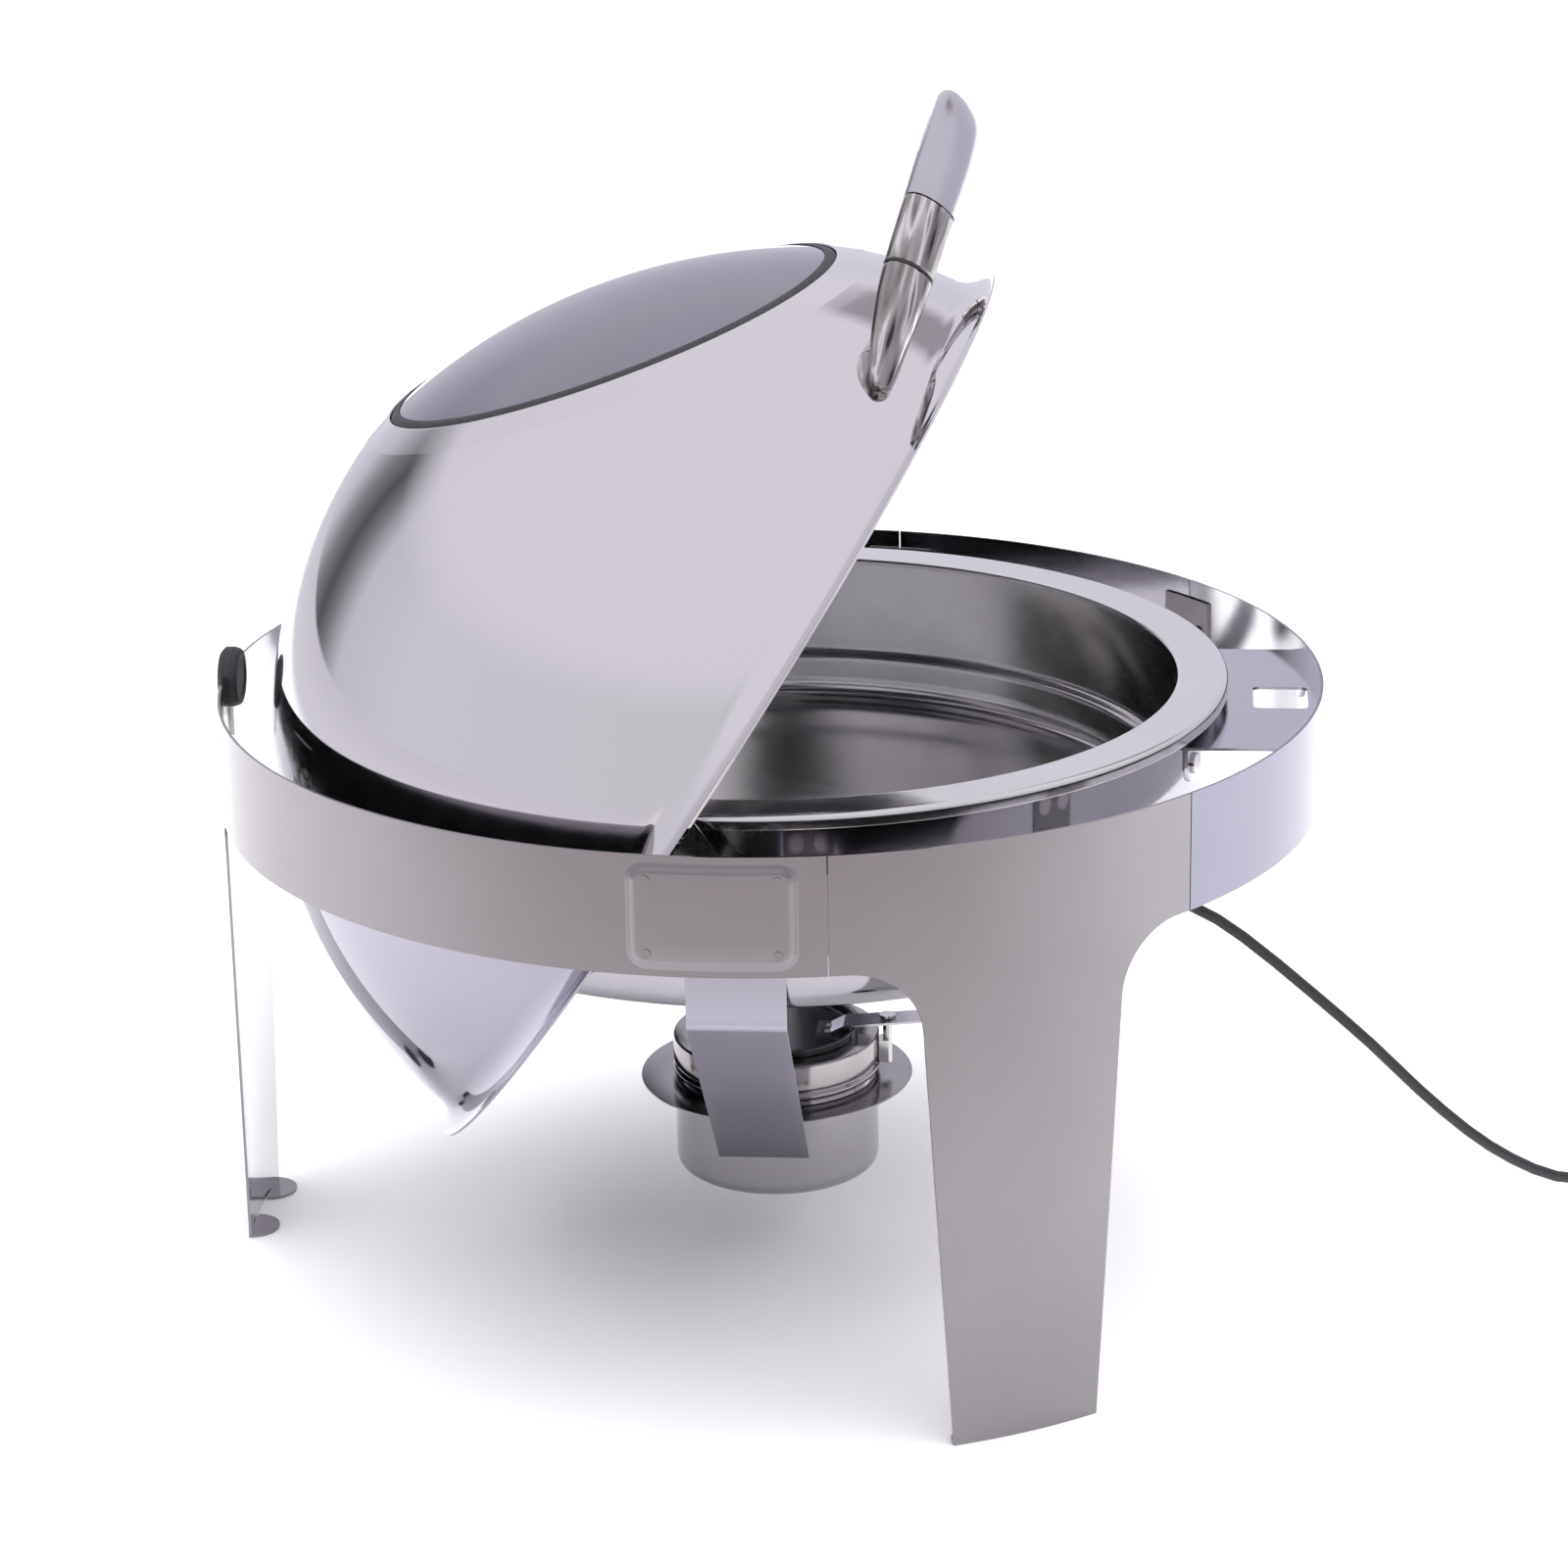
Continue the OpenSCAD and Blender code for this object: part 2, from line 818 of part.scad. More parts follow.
module lid_shell() {
    wall = sqrt(lid_r * lid_r - flare_h * flare_h);
    inner = sqrt(lid_in * lid_in - flare_h * flare_h);
    outer_arc = lip_arc(lip_r - wall, flare_h - rim_h - lid_t, [0 : 9 : 90]);
    inner_arc = lip_arc(lip_r - inner, flare_h - rim_h, [90 : -9 : 0]);
    color(steel) {
        in_lid()
            difference() {
                union() {
                    difference() {
                        sphere(r = lid_r, $fn = 128);
                        sphere(r = lid_in, $fn = 128);
                        translate([0, 0, flare_h - big]) cylinder(r = big, h = big);
                    }
                    rotate_extrude($fn = 180) polygon(concat(outer_arc, inner_arc));
                }
                rotate([window_tilt, 0, 0]) cylinder(r = seat_r, h = big);
                for (s = [-1, 1]) side(s) screw_hole();
            }
        in_window()
            rotate_extrude($fn = 180)
                polygon([
                    [seat_r + 0.3, seat_h - 0.3], [window_r, sill_h], [window_r - lid_t, sill_h],
                    [window_r - lid_t, sill_h - gasket_h], [window_r, sill_h - gasket_h],
                    [window_r, sill_h - lid_t * 1.1], [seat_r + 0.3, seat_h - 0.3 - lid_t * 1.1]
                ]);
    }
}

module window_gasket() {
    r = window_r - lid_t;
    color(black)
        in_window()
            rotate_extrude($fn = 180)
                polygon([
                    [r - 7, glass_h - 1.5], [r, glass_h - 1.5], [r, glass_h + 4],
                    [glass_r, glass_h + 4], [glass_r, glass_h], [r - 7, glass_h]
                ]);
}

module window_glass() {
    centre = glass_h + glass_t + glass_crown - dome_r;
    color([0.55, 0.58, 0.68, 0.6])
        in_window()
            intersection() {
                difference() {
                    translate([0, 0, centre]) sphere(r = dome_r, $fn = 128);
                    translate([0, 0, centre]) sphere(r = dome_r - glass_t, $fn = 128);
                }
                translate([0, 0, glass_h]) cylinder(r = glass_r, h = 3 * glass_crown, $fn = 180);
            }
}

module window_clamp_ring() {
    top = glass_h - 1.5;
    color(steel)
        in_window()
            rotate_extrude($fn = 180)
                polygon([
                    [window_r - 10, top - 1.2], [window_r, top - 1.2],
                    [window_r, top], [window_r - 10, top]
                ]);
}

// Plate from the pivot up to the dome's wall
module lid_arm() {
    color(steel)
        in_lid()
            difference() {
                translate([arm_x - arm_t, 0, 0])
                    rotate([90, 0, 90])
                        linear_extrude(height = arm_t)
                            intersection() {
                                union() {
                                    circle(r = arm_eye_r);
                                    polygon([
                                        [-arm_eye_r, 0], [arm_eye_r, 0], [34, 60], [-34, 60]
                                    ]);
                                }
                                circle(r = sqrt(lid_in * lid_in - arm_x * arm_x), $fn = 128);
                            }
                translate([arm_x - 10, 0, 0])
                    rotate([0, 90, 0]) cylinder(r = pin_r + pin_fit, h = 20);
            }
}

module lid_arm_left() {
    side(-1) lid_arm();
}

module lid_arm_right() {
    side(1) lid_arm();
}

// ---------------------------------------------------------------- handle

// Right half of the bow, from a foot's tip to the middle, in the closed lid's frame
bow = [
    [handle_half, -(lid_r - 31.5), 46], [handle_half - 15, -(lid_r - 13.5), 53.5],
    [handle_half - 35, -(lid_r + 6.5), 60], [handle_half - 55, -(lid_r + 29.5), 66],
    [handle_half - 77, -(lid_r + 49.5), 71], [0, -(lid_r + 57), 73]
];
bow_steps = 5;
bow_half = len(bow) - 1;
bow_whole = concat(
    bow, [for (i = [bow_half - 1 : -1 : 0]) [-bow[i][0], bow[i][1], bow[i][2]]]);
bow_path = [for (i = [0 : bow_half * bow_steps]) smooth(bow_whole, bow_steps)[i]];
joint_at = 2 * bow_steps;
ferrule_end = joint_at + bow_steps;
grip_flat = [0, 0.5, -1];
handle_sides = 16;

function part_of(path, i0, i1) = [for (i = [i0 : i1]) path[i]];

// Half width of the bow along its length: slim at the foot's tip, full at the middle
function bow_a(i) = i <= joint_at
    ? 3.2 + (grip_w / 2 - 1.8 - 3.2) * sin(90 * i / joint_at)
    : grip_w / 2 - 1.8 + 1.8 * sin(90 * (i - joint_at) / (len(bow_path) - 1 - joint_at));

function bow_b(i) = i <= joint_at
    ? 3 + (grip_t / 2 + 1 - 3) * sin(90 * i / joint_at)
    : grip_t / 2 + 1 - sin(90 * (i - joint_at) / (len(bow_path) - 1 - joint_at));

module bow_part(i0, i1, more) {
    sweep(
        part_of(bow_path, i0, i1), grip_flat,
        [for (i = [i0 : i1]) bow_a(i) + more], [for (i = [i0 : i1]) bow_b(i) + more],
        handle_sides);
}

module handle_foot() {
    color(dark)
        in_lid()
            difference() {
                bow_part(0, joint_at, 0);
                sphere(r = lid_r, $fn = 128);
            }
}

module handle_foot_left() {
    side(-1) handle_foot();
}

module handle_foot_right() {
    side(1) handle_foot();
}

seal_t = 1;
screw_r = 2.5;

module handle_seals() {
    p = bow_path[joint_at];
    t = tangent(bow_path, joint_at);
    color(black)
        for (s = [-1, 1])
            side(s)
                in_lid()
                    sweep(
                        [p, p + seal_t * t], grip_flat, [bow_a(joint_at), bow_a(joint_at)] * 1.03,
                        [bow_b(joint_at), bow_b(joint_at)] * 1.03, handle_sides);
}

module handle_ferrule() {
    i0 = joint_at;
    p = bow_path[i0] + seal_t * tangent(bow_path, i0);
    path = concat([p], part_of(bow_path, i0 + 1, ferrule_end));
    color(dark)
        in_lid()
            sweep(
                path, grip_flat, [for (i = [i0 : ferrule_end]) bow_a(i)],
                [for (i = [i0 : ferrule_end]) bow_b(i)], handle_sides);
}

module handle_ferrule_left() {
    side(-1) handle_ferrule();
}

module handle_ferrule_right() {
    side(1) handle_ferrule();
}

module handle_grip() {
    last = len(bow_path) - 1;
    half = part_of(bow_path, ferrule_end, last);
    other = [for (i = [last - 1 : -1 : ferrule_end]) [-bow_path[i][0], bow_path[i][1], bow_path[i][2]]];
    widths = concat(
        [for (i = [ferrule_end : last]) bow_a(i)], [for (i = [last - 1 : -1 : ferrule_end]) bow_a(i)]);
    depths = concat(
        [for (i = [ferrule_end : last]) bow_b(i)], [for (i = [last - 1 : -1 : ferrule_end]) bow_b(i)]);
    color(satin) in_lid() sweep(concat(half, other), grip_flat, widths, depths, handle_sides);
}

module screw_hole() {
    p = bow_path[2];
    rotate([0, 0, atan2(p[1], p[0])])
        rotate([0, acos(p[2] / norm(p)), 0])
            translate([0, 0, lid_in - 5]) cylinder(r = screw_r, h = 10);
}

// Along a screw's axis, from the pivot out through the dome and the foot of the handle
module on_screw() {
    p = bow_path[2];
    in_lid() rotate([0, 0, atan2(p[1], p[0])]) rotate([0, acos(p[2] / norm(p)), 0]) children();
}

module handle_screws() {
    color(steel)
        for (s = [-1, 1])
            side(s)
                on_screw()
                    translate([0, 0, lid_in - 2.6]) {
                        cylinder(r = 4.5, h = 2.5);
                        cylinder(r = screw_r, h = lid_t + 2.4);
                    }
}

// ---------------------------------------------------------------- burner

module burner_drum() {
    wall = drum_r - 1.4;
    color(steel)
        rotate_extrude($fn = 120)
            polygon([
                [0, can_z], [can_r, can_z], [can_r, drum_z - 1], [wall + 0.6, drum_z - 1],
                [wall + 0.6, drum_z + 1], [drum_r, drum_z + 2], [drum_r, drum_z + 4],
                [wall + 0.6, drum_z + 5], [drum_r, drum_z + 6], [drum_r, drum_top],
                [cover_r - 2.5, drum_top], [cover_r - 2.5, drum_top - 1],
                [drum_r - 1.6, drum_top - 1], [drum_r - 1.6, drum_z + 6],
                [drum_r - 2.4, drum_z + 5], [drum_r - 2.4, drum_z], [can_r - 1, drum_z],
                [can_r - 1, can_z + 1], [0, can_z + 1]
            ]);
}

module fuel_cup() {
    color(satin)
        rotate_extrude($fn = 120) vessel_wall(cup_r, can_z + 1, drum_top - 4, 4, 1);
}

module drum_rivets() {
    color(steel)
        for (a = [-100 : 120 : 140])
            rotate([0, 0, a])
                translate([0, -drum_r, drum_z + drum_h / 2 + 2])
                    rotate([90, 0, 0]) cylinder(r = 2.6, h = 1);
}

// Underside of the cover's handle, past its bend
function handle_low(y) = cover_base + 3.6 + 8 * (-y - handle_bend) / (handle_end - handle_bend);

module cover_post() {
    head_z = handle_low(post_y - 2 * post_r) + 1.2;
    color(steel) {
        translate([0, post_y, drum_z + 4]) cylinder(r = post_r, h = head_z - drum_z - 4);
        translate([0, post_y, head_z]) cylinder(r = 1.8 * post_r, h = 1.2);
        translate([-4, post_y - 0.6, drum_z + 5]) cube([8, -drum_r - post_y + 0.6, 10]);
    }
}

module burner_cover() {
    color(black)
        rotate_extrude($fn = 120)
            polygon([
                [0, cover_base + 0.6], [cover_r - 2.4, cover_base + 0.6], [cover_r - 1, cover_base + 3.4],
                [cover_r, cover_base + 3.4], [cover_r, cover_base], [0, cover_base]
            ]);
}

module cover_handle() {
    seat = cover_base + 0.6;
    color(satin)
        difference() {
            translate([-7, 0, 0])
                rotate([90, 0, 90])
                    linear_extrude(height = 14)
                        polygon([
                            [-handle_seat, seat], [-handle_rise, seat], [-handle_bend, handle_low(-handle_bend)],
                            [-handle_end, handle_low(-handle_end)],
                            [-handle_end, handle_low(-handle_end) + 1],
                            [-handle_bend, handle_low(-handle_bend) + 1],
                            [-handle_rise, seat + 1], [-handle_seat, seat + 1]
                        ]);
            translate([0, post_y, 0]) cylinder(r = post_r + pin_fit, h = big);
        }
}

module cover_rivets() {
    color(steel)
        for (s = [-1, 1])
            translate([s * 3.5, 2 - handle_rise, cover_base + 1.6]) cylinder(r = 1.6, h = 0.8);
}

// ---------------------------------------------------------------- drawing

leg_front_left();
leg_front_right();
leg_back();
rail_front();
rail_left();
rail_right();
seam_plates();
seam_rivets();
hinge_cover_left();
hinge_cover_right();
hinge_cover_rivets();
hinge_bracket_left();
hinge_bracket_right();
hinge_pin_left();
hinge_pin_right();
hinge_spacers();
front_shelf();
shelf_rivets();
water_pan();
pan_bolts();
burner_strip_left();
burner_strip_right();
burner_holder();
bumper();
bumper_clip();
heater_housing();
heater_screws();
cord_gland();
cord();
cord_coil();
cord_tie();
plug();
plug_pins();
lid_shell();
window_gasket();
window_glass();
window_clamp_ring();
lid_arm_left();
lid_arm_right();
handle_foot_left();
handle_foot_right();
handle_seals();
handle_ferrule_left();
handle_ferrule_right();
handle_grip();
handle_screws();
food_pan();
burner_drum();
fuel_cup();
drum_rivets();
cover_post();
burner_cover();
cover_handle();
cover_rivets();
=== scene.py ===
"""Looks for the roll top chafer: detailed pieces, materials, studio light and camera, in metres."""
import math

import bpy
from mathutils import Matrix, Vector


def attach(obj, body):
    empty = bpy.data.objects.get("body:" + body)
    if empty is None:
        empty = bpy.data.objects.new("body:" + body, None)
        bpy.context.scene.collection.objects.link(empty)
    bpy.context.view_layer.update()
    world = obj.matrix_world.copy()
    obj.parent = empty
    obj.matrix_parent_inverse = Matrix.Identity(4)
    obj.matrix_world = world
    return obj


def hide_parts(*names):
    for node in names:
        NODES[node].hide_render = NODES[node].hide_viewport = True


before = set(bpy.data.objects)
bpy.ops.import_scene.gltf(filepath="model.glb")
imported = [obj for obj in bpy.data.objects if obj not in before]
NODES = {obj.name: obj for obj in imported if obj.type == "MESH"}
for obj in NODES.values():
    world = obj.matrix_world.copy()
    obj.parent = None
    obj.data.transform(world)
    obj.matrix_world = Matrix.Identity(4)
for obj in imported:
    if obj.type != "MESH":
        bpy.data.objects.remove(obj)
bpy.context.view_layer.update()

MM = 0.001

# ---------------------------------------------------------------- camera


def camera():
    eye = Vector((-1.8677, -0.1721, 0.8341))
    look = Vector((0.94416, 0.0844, -0.31851)).normalized()
    up = Vector((0.31863, 0.0124, 0.9478))
    right = look.cross(up).normalized()
    up = right.cross(look)
    data = bpy.data.cameras.new("camera")
    data.sensor_width = 36
    data.lens = 105.444
    data.clip_start, data.clip_end = 0.05, 60
    cam = bpy.data.objects.new("camera", data)
    bpy.context.scene.collection.objects.link(cam)
    cam.matrix_world = Matrix((
        (right.x, up.x, -look.x, eye.x), (right.y, up.y, -look.y, eye.y),
        (right.z, up.z, -look.z, eye.z), (0, 0, 0, 1)))
    bpy.context.scene.camera = cam


camera()

# ---------------------------------------------------------------- mesh helpers


def make(name, verts, faces, body, mat, smooth=30.0):
    """A mesh piece from points in millimetres, riding on a body."""
    mesh = bpy.data.meshes.new(name)
    mesh.from_pydata([[c * MM for c in v] for v in verts], [], faces)
    mesh.validate()
    obj = bpy.data.objects.new(name, mesh)
    bpy.context.scene.collection.objects.link(obj)
    mesh.materials.append(mat)
    finish_mesh(mesh, smooth)
    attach(obj, body)
    return obj


def finish_mesh(mesh, smooth):
    mesh.shade_smooth()
    if smooth < 180:
        mesh.set_sharp_from_angle(angle=math.radians(smooth))
    mesh.update()


def baked(obj, smooth=30.0):
    """Applies the piece's modifiers."""
    dg = bpy.context.evaluated_depsgraph_get()
    mesh = bpy.data.meshes.new_from_object(obj.evaluated_get(dg))
    obj.modifiers.clear()
    obj.data = mesh
    finish_mesh(mesh, smooth)
    return obj


def thick(obj, t, offset=-1.0, bevel=0.0, smooth=30.0, inside=None):
    m = obj.modifiers.new("thick", "SOLIDIFY")
    if inside:
        obj.data.materials.append(inside)
        m.material_offset = 1
    m.thickness, m.offset, m.use_even_offset = t * MM, offset, True
    if bevel:
        b = obj.modifiers.new("edge", "BEVEL")
        b.width, b.segments, b.limit_method = bevel * MM, 2, "ANGLE"
        b.angle_limit = math.radians(50)
    return baked(obj, smooth)


def grid(rows, closed=False):
    """Faces of a grid of points, given as rows of equal length."""
    n, w = len(rows), len(rows[0])
    verts = [p for row in rows for p in row]
    faces = []
    for i in range(n - 1):
        for k in range(w if closed else w - 1):
            m = (k + 1) % w
            faces.append((i * w + k, i * w + m, (i + 1) * w + m, (i + 1) * w + k))
    return verts, faces


def lathe(profile, seg=160, centre=(0, 0, 0), turn=None):
    """Grid of a profile of (radius, height) turned about Z; a point on the axis is a tiny ring."""
    rows = []
    for r, z in profile:
        row = []
        for k in range(seg):
            a = 2 * math.pi * k / seg
            p = Vector((max(r, 0.02) * math.cos(a), max(r, 0.02) * math.sin(a), z))
            if turn is not None:
                p = turn @ p
            row.append(tuple(p + Vector(centre)))
        rows.append(row)
    return grid(rows, closed=True)


def rounded(points, default=1.0, steps=5):
    """Profile with each inner corner rounded; a point is (r, z) or (r, z, radius)."""
    out = [tuple(points[0][:2])]
    for i in range(1, len(points) - 1):
        a, b, c = (Vector(points[j][:2]) for j in (i - 1, i, i + 1))
        rad = points[i][2] if len(points[i]) > 2 else default
        u, v = (a - b), (c - b)
        lu, lv = u.length, v.length
        if lu < 1e-6 or lv < 1e-6 or rad <= 0:
            out.append(tuple(b))
            continue
        u, v = u / lu, v / lv
        half = math.acos(max(-1, min(1, u.dot(v)))) / 2
        d = min(rad / max(math.tan(half), 1e-6), 0.49 * lu, 0.49 * lv)
        p, q = b + u * d, b + v * d
        for k in range(steps + 1):
            t = k / steps
            out.append(tuple(p * (1 - t) ** 2 + b * 2 * t * (1 - t) + q * t * t))
    out.append(tuple(points[-1][:2]))
    return out


def curve_at(p0, p1, p2, p3, t):
    return 0.5 * (2 * p1 + (p2 - p0) * t + (2 * p0 - 5 * p1 + 4 * p2 - p3) * t * t
                  + (3 * p1 - p0 - 3 * p2 + p3) * t * t * t)


def smooth_path(points, steps):
    pts = [Vector(p) for p in points]
    last = len(pts) - 1
    out = []
    for i in range(last):
        for k in range(steps):
            out.append(curve_at(pts[max(i - 1, 0)], pts[i], pts[i + 1], pts[min(i + 2, last)],
                                k / steps))
    out.append(pts[-1])
    return out


def sweep(path, flat, a, b, sides, power):
    """Solid along a path, half widths a along flat and b across; power over 2 squares it off."""
    rows = []
    n = len(path)
    for i, p in enumerate(path):
        t = (path[min(i + 1, n - 1)] - path[max(i - 1, 0)]).normalized()
        u = (flat - t * flat.dot(t)).normalized()
        v = t.cross(u)
        row = []
        for k in range(sides):
            w = 2 * math.pi * k / sides
            c, s = math.cos(w), math.sin(w)
            e = 2 / power
            row.append(p + u * (a[i] * math.copysign(abs(c) ** e, c))
                       + v * (b[i] * math.copysign(abs(s) ** e, s)))
        rows.append(row)
    verts, faces = grid(rows, closed=True)
    base = (n - 1) * sides
    faces.append(tuple(range(sides - 1, -1, -1)))
    faces.append(tuple(range(base, base + sides)))
    return verts, faces


# ---------------------------------------------------------------- materials


def nodes_of(name):
    mat = bpy.data.materials.new(name)
    mat.use_nodes = True
    tree = mat.node_tree
    shader = tree.nodes["Principled BSDF"]
    coords = tree.nodes.new("ShaderNodeTexCoord")
    return mat, tree, shader, coords


def noise(tree, coords, scale, detail=3.0):
    tex = tree.nodes.new("ShaderNodeTexNoise")
    tex.inputs["Scale"].default_value = scale
    tex.inputs["Detail"].default_value = detail
    tree.links.new(coords.outputs["Object"], tex.inputs["Vector"])
    return tex


def ramp(tree, source, stops):
    node = tree.nodes.new("ShaderNodeValToRGB")
    el = node.color_ramp.elements
    el[0].position, el[0].color = stops[0][0], (*stops[0][1], 1)
    el[1].position, el[1].color = stops[-1][0], (*stops[-1][1], 1)
    for pos, col in stops[1:-1]:
        el.new(pos).color = (*col, 1)
    tree.links.new(source, node.inputs["Fac"])
    return node


def mix(tree, factor, low, top):
    """Colour between low and top; each is a colour or a socket."""
    node = tree.nodes.new("ShaderNodeMix")
    node.data_type = "RGBA"
    for key, value in (("Factor_Float", factor), ("A_Color", low), ("B_Color", top)):
        socket = next(k for k in node.inputs if k.identifier == key)
        if isinstance(value, tuple):
            socket.default_value = (*value, 1)
        else:
            tree.links.new(value, socket)
    return next(k for k in node.outputs if k.identifier == "Result_Color")


def bump(tree, shader, source, strength, distance):
    node = tree.nodes.new("ShaderNodeBump")
    node.inputs["Strength"].default_value = strength
    node.inputs["Distance"].default_value = distance
    tree.links.new(source, node.inputs["Height"])
    tree.links.new(node.outputs["Normal"], shader.inputs["Normal"])
    return node


def steel(name, dark, light, rough, wave, grain=0.0):
    """Stainless: colour and polish vary softly, with a slow wave of the sheet and a fine grain."""
    mat, tree, shader, coords = nodes_of(name)
    shader.inputs["Metallic"].default_value = 1.0
    cloud = noise(tree, coords, 14, 4)
    tree.links.new(ramp(tree, cloud.outputs["Fac"], [(0.3, dark), (0.7, light)]).outputs["Color"],
                   shader.inputs["Base Color"])
    fine = noise(tree, coords, 700 if grain else 90, 3)
    lo, hi = rough
    tree.links.new(ramp(tree, fine.outputs["Fac"], [(0.3, (lo,) * 3), (0.72, (hi,) * 3)])
                   .outputs["Color"], shader.inputs["Roughness"])
    slow = noise(tree, coords, 9, 1)
    first = bump(tree, shader, slow.outputs["Fac"], wave, 0.004)
    if grain:
        second = bump(tree, shader, fine.outputs["Fac"], grain, 0.00004)
        tree.links.new(first.outputs["Normal"], second.inputs["Normal"])
    return mat


def soft_black(name, colour, lighter, rough, grain=900, strength=0.15, coat=0.0):
    mat, tree, shader, coords = nodes_of(name)
    tex = noise(tree, coords, grain, 4)
    tree.links.new(ramp(tree, tex.outputs["Fac"], [(0.35, colour), (0.75, lighter)])
                   .outputs["Color"], shader.inputs["Base Color"])
    cloud = noise(tree, coords, 40, 3)
    lo, hi = rough
    tree.links.new(ramp(tree, cloud.outputs["Fac"], [(0.3, (lo,) * 3), (0.7, (hi,) * 3)])
                   .outputs["Color"], shader.inputs["Roughness"])
    shader.inputs["Coat Weight"].default_value = coat
    shader.inputs["Coat Roughness"].default_value = 0.05
    bump(tree, shader, tex.outputs["Fac"], strength, 0.0003)
    return mat


# painted shade: the band steel is set dark to dim the bright floor it reflects; the front copy is
# bluer, a painted reflection of the lavender light
BAND = steel("band_steel", (0.275, 0.262, 0.275), (0.30, 0.287, 0.30), (0.09, 0.13), 0.010)
FRONT = steel("front_band_steel", (0.27, 0.272, 0.33), (0.295, 0.297, 0.355), (0.09, 0.13), 0.010)
INSIDE = steel("inner_steel", (0.64, 0.63, 0.65), (0.69, 0.68, 0.70), (0.09, 0.13), 0.010)
# painted shade: the water pan is set darker and bluer, dimming the white floor its underside
# reflects
BOWL = steel("bowl_steel", (0.42, 0.41, 0.445), (0.46, 0.45, 0.485), (0.06, 0.09), 0.010)
# painted shade: the shelf is set darker, dimming the bright sky it reflects
SHELF = steel("shelf_steel", (0.50, 0.50, 0.55), (0.54, 0.54, 0.59), (0.12, 0.16), 0.010)
SATIN = steel("satin_steel", (0.34, 0.33, 0.345), (0.38, 0.37, 0.385), (0.16, 0.20), 0.01)
# painted light: the food pan is set bright, standing in for light the lid above keeps out
PAN = steel("pan_steel", (0.74, 0.735, 0.73), (0.79, 0.785, 0.78), (0.14, 0.18), 0.002)
GRIP = steel("grip_steel", (0.56, 0.545, 0.59), (0.62, 0.605, 0.65), (0.20, 0.25), 0.01)
# painted shade: the drum is set darker, dimming the white floor it reflects
DRUM = steel("drum_steel", (0.36, 0.345, 0.35), (0.42, 0.405, 0.41), (0.10, 0.14), 0.02)
HARDWARE = steel("hardware_steel", (0.58, 0.57, 0.56), (0.68, 0.67, 0.66), (0.12, 0.18), 0.02)
COVER = soft_black("cover_black", (0.012, 0.012, 0.014), (0.03, 0.03, 0.034), (0.10, 0.16), 300,
                   0.03, 0.15)
RUBBER = soft_black("rubber", (0.018, 0.018, 0.02), (0.035, 0.035, 0.04), (0.45, 0.6))
LEAD = soft_black("lead_sheath", (0.012, 0.012, 0.013), (0.025, 0.025, 0.028), (0.32, 0.42), 1200,
                  0.08)
PLASTIC = soft_black("dark_plastic", (0.02, 0.02, 0.022), (0.04, 0.04, 0.045), (0.35, 0.5), 1500,
                     0.1)
CASE = steel("heater_case", (0.30, 0.30, 0.31), (0.40, 0.40, 0.41), (0.35, 0.5), 0.02, 0.3)
SEAM = steel("seam_steel", (0.26, 0.25, 0.25), (0.32, 0.31, 0.31), (0.12, 0.18), 0.02)


def cast_chrome(name, side):
    """Cast chrome with painted reflections: bright and dark streaks along the handle's feet."""
    mat, tree, shader, coords = nodes_of(name)
    mapping = tree.nodes.new("ShaderNodeMapping")
    mapping.vector_type = "TEXTURE"
    mapping.inputs["Rotation"].default_value = (math.radians(9.8), math.radians(-41.5 * side), 0)
    mapping.inputs["Scale"].default_value = (1, 1, 9)
    tree.links.new(coords.outputs["Object"], mapping.inputs["Vector"])
    tex = tree.nodes.new("ShaderNodeTexNoise")
    tex.inputs["Scale"].default_value = 190
    tex.inputs["Detail"].default_value = 1.5
    tex.inputs["Distortion"].default_value = 0.25
    tree.links.new(mapping.outputs["Vector"], tex.inputs["Vector"])
    # painted reflections: streaks from near black to near white, stretched along the feet
    tree.links.new(ramp(tree, tex.outputs["Fac"], [
        (0.36, (0.05, 0.045, 0.045)), (0.46, (0.30, 0.285, 0.28)), (0.55, (0.42, 0.40, 0.39)),
        (0.62, (0.85, 0.84, 0.83)), (0.72, (0.20, 0.19, 0.19))])
        .outputs["Color"], shader.inputs["Base Color"])
    shader.inputs["Metallic"].default_value = 1.0
    shader.inputs["Roughness"].default_value = 0.12
    bump(tree, shader, tex.outputs["Fac"], 0.3, 0.002)
    return mat


CAST = {1: cast_chrome("cast_chrome_right", 1), -1: cast_chrome("cast_chrome_left", -1)}


def strip_steel():
    """Satin sheet, painted darker on the slope under the strips' bend: painted shade for the shaded
    floor the slope reflects.
    """
    mat, tree, shader, coords = nodes_of("strip_steel")
    split = tree.nodes.new("ShaderNodeSeparateXYZ")
    tree.links.new(coords.outputs["Object"], split.inputs["Vector"])
    # painted shade: colour by height, darker below the bend at 0.18 m
    tree.links.new(ramp(tree, split.outputs["Z"], [
        (0.05, (0.36, 0.34, 0.43)), (0.1805, (0.29, 0.275, 0.345)), (0.1845, (0.47, 0.475, 0.55))])
        .outputs["Color"], shader.inputs["Base Color"])
    shader.inputs["Metallic"].default_value = 1.0
    shader.inputs["Roughness"].default_value = 0.3
    return mat


STRIP = strip_steel()


def smoked_glass():
    mat, tree, shader, coords = nodes_of("smoked_glass")
    tex = noise(tree, coords, 6, 2)
    tree.links.new(ramp(tree, tex.outputs["Fac"], [
        (0.3, (0.03, 0.034, 0.06)), (0.7, (0.04, 0.044, 0.075))])
        .outputs["Color"], shader.inputs["Base Color"])
    shader.inputs["Metallic"].default_value = 0.0
    shader.inputs["Transmission Weight"].default_value = 0.2
    shader.inputs["Roughness"].default_value = 0.04
    shader.inputs["IOR"].default_value = 1.5
    return mat


GLASS = smoked_glass()

# ---------------------------------------------------------------- sizes, in millimetres

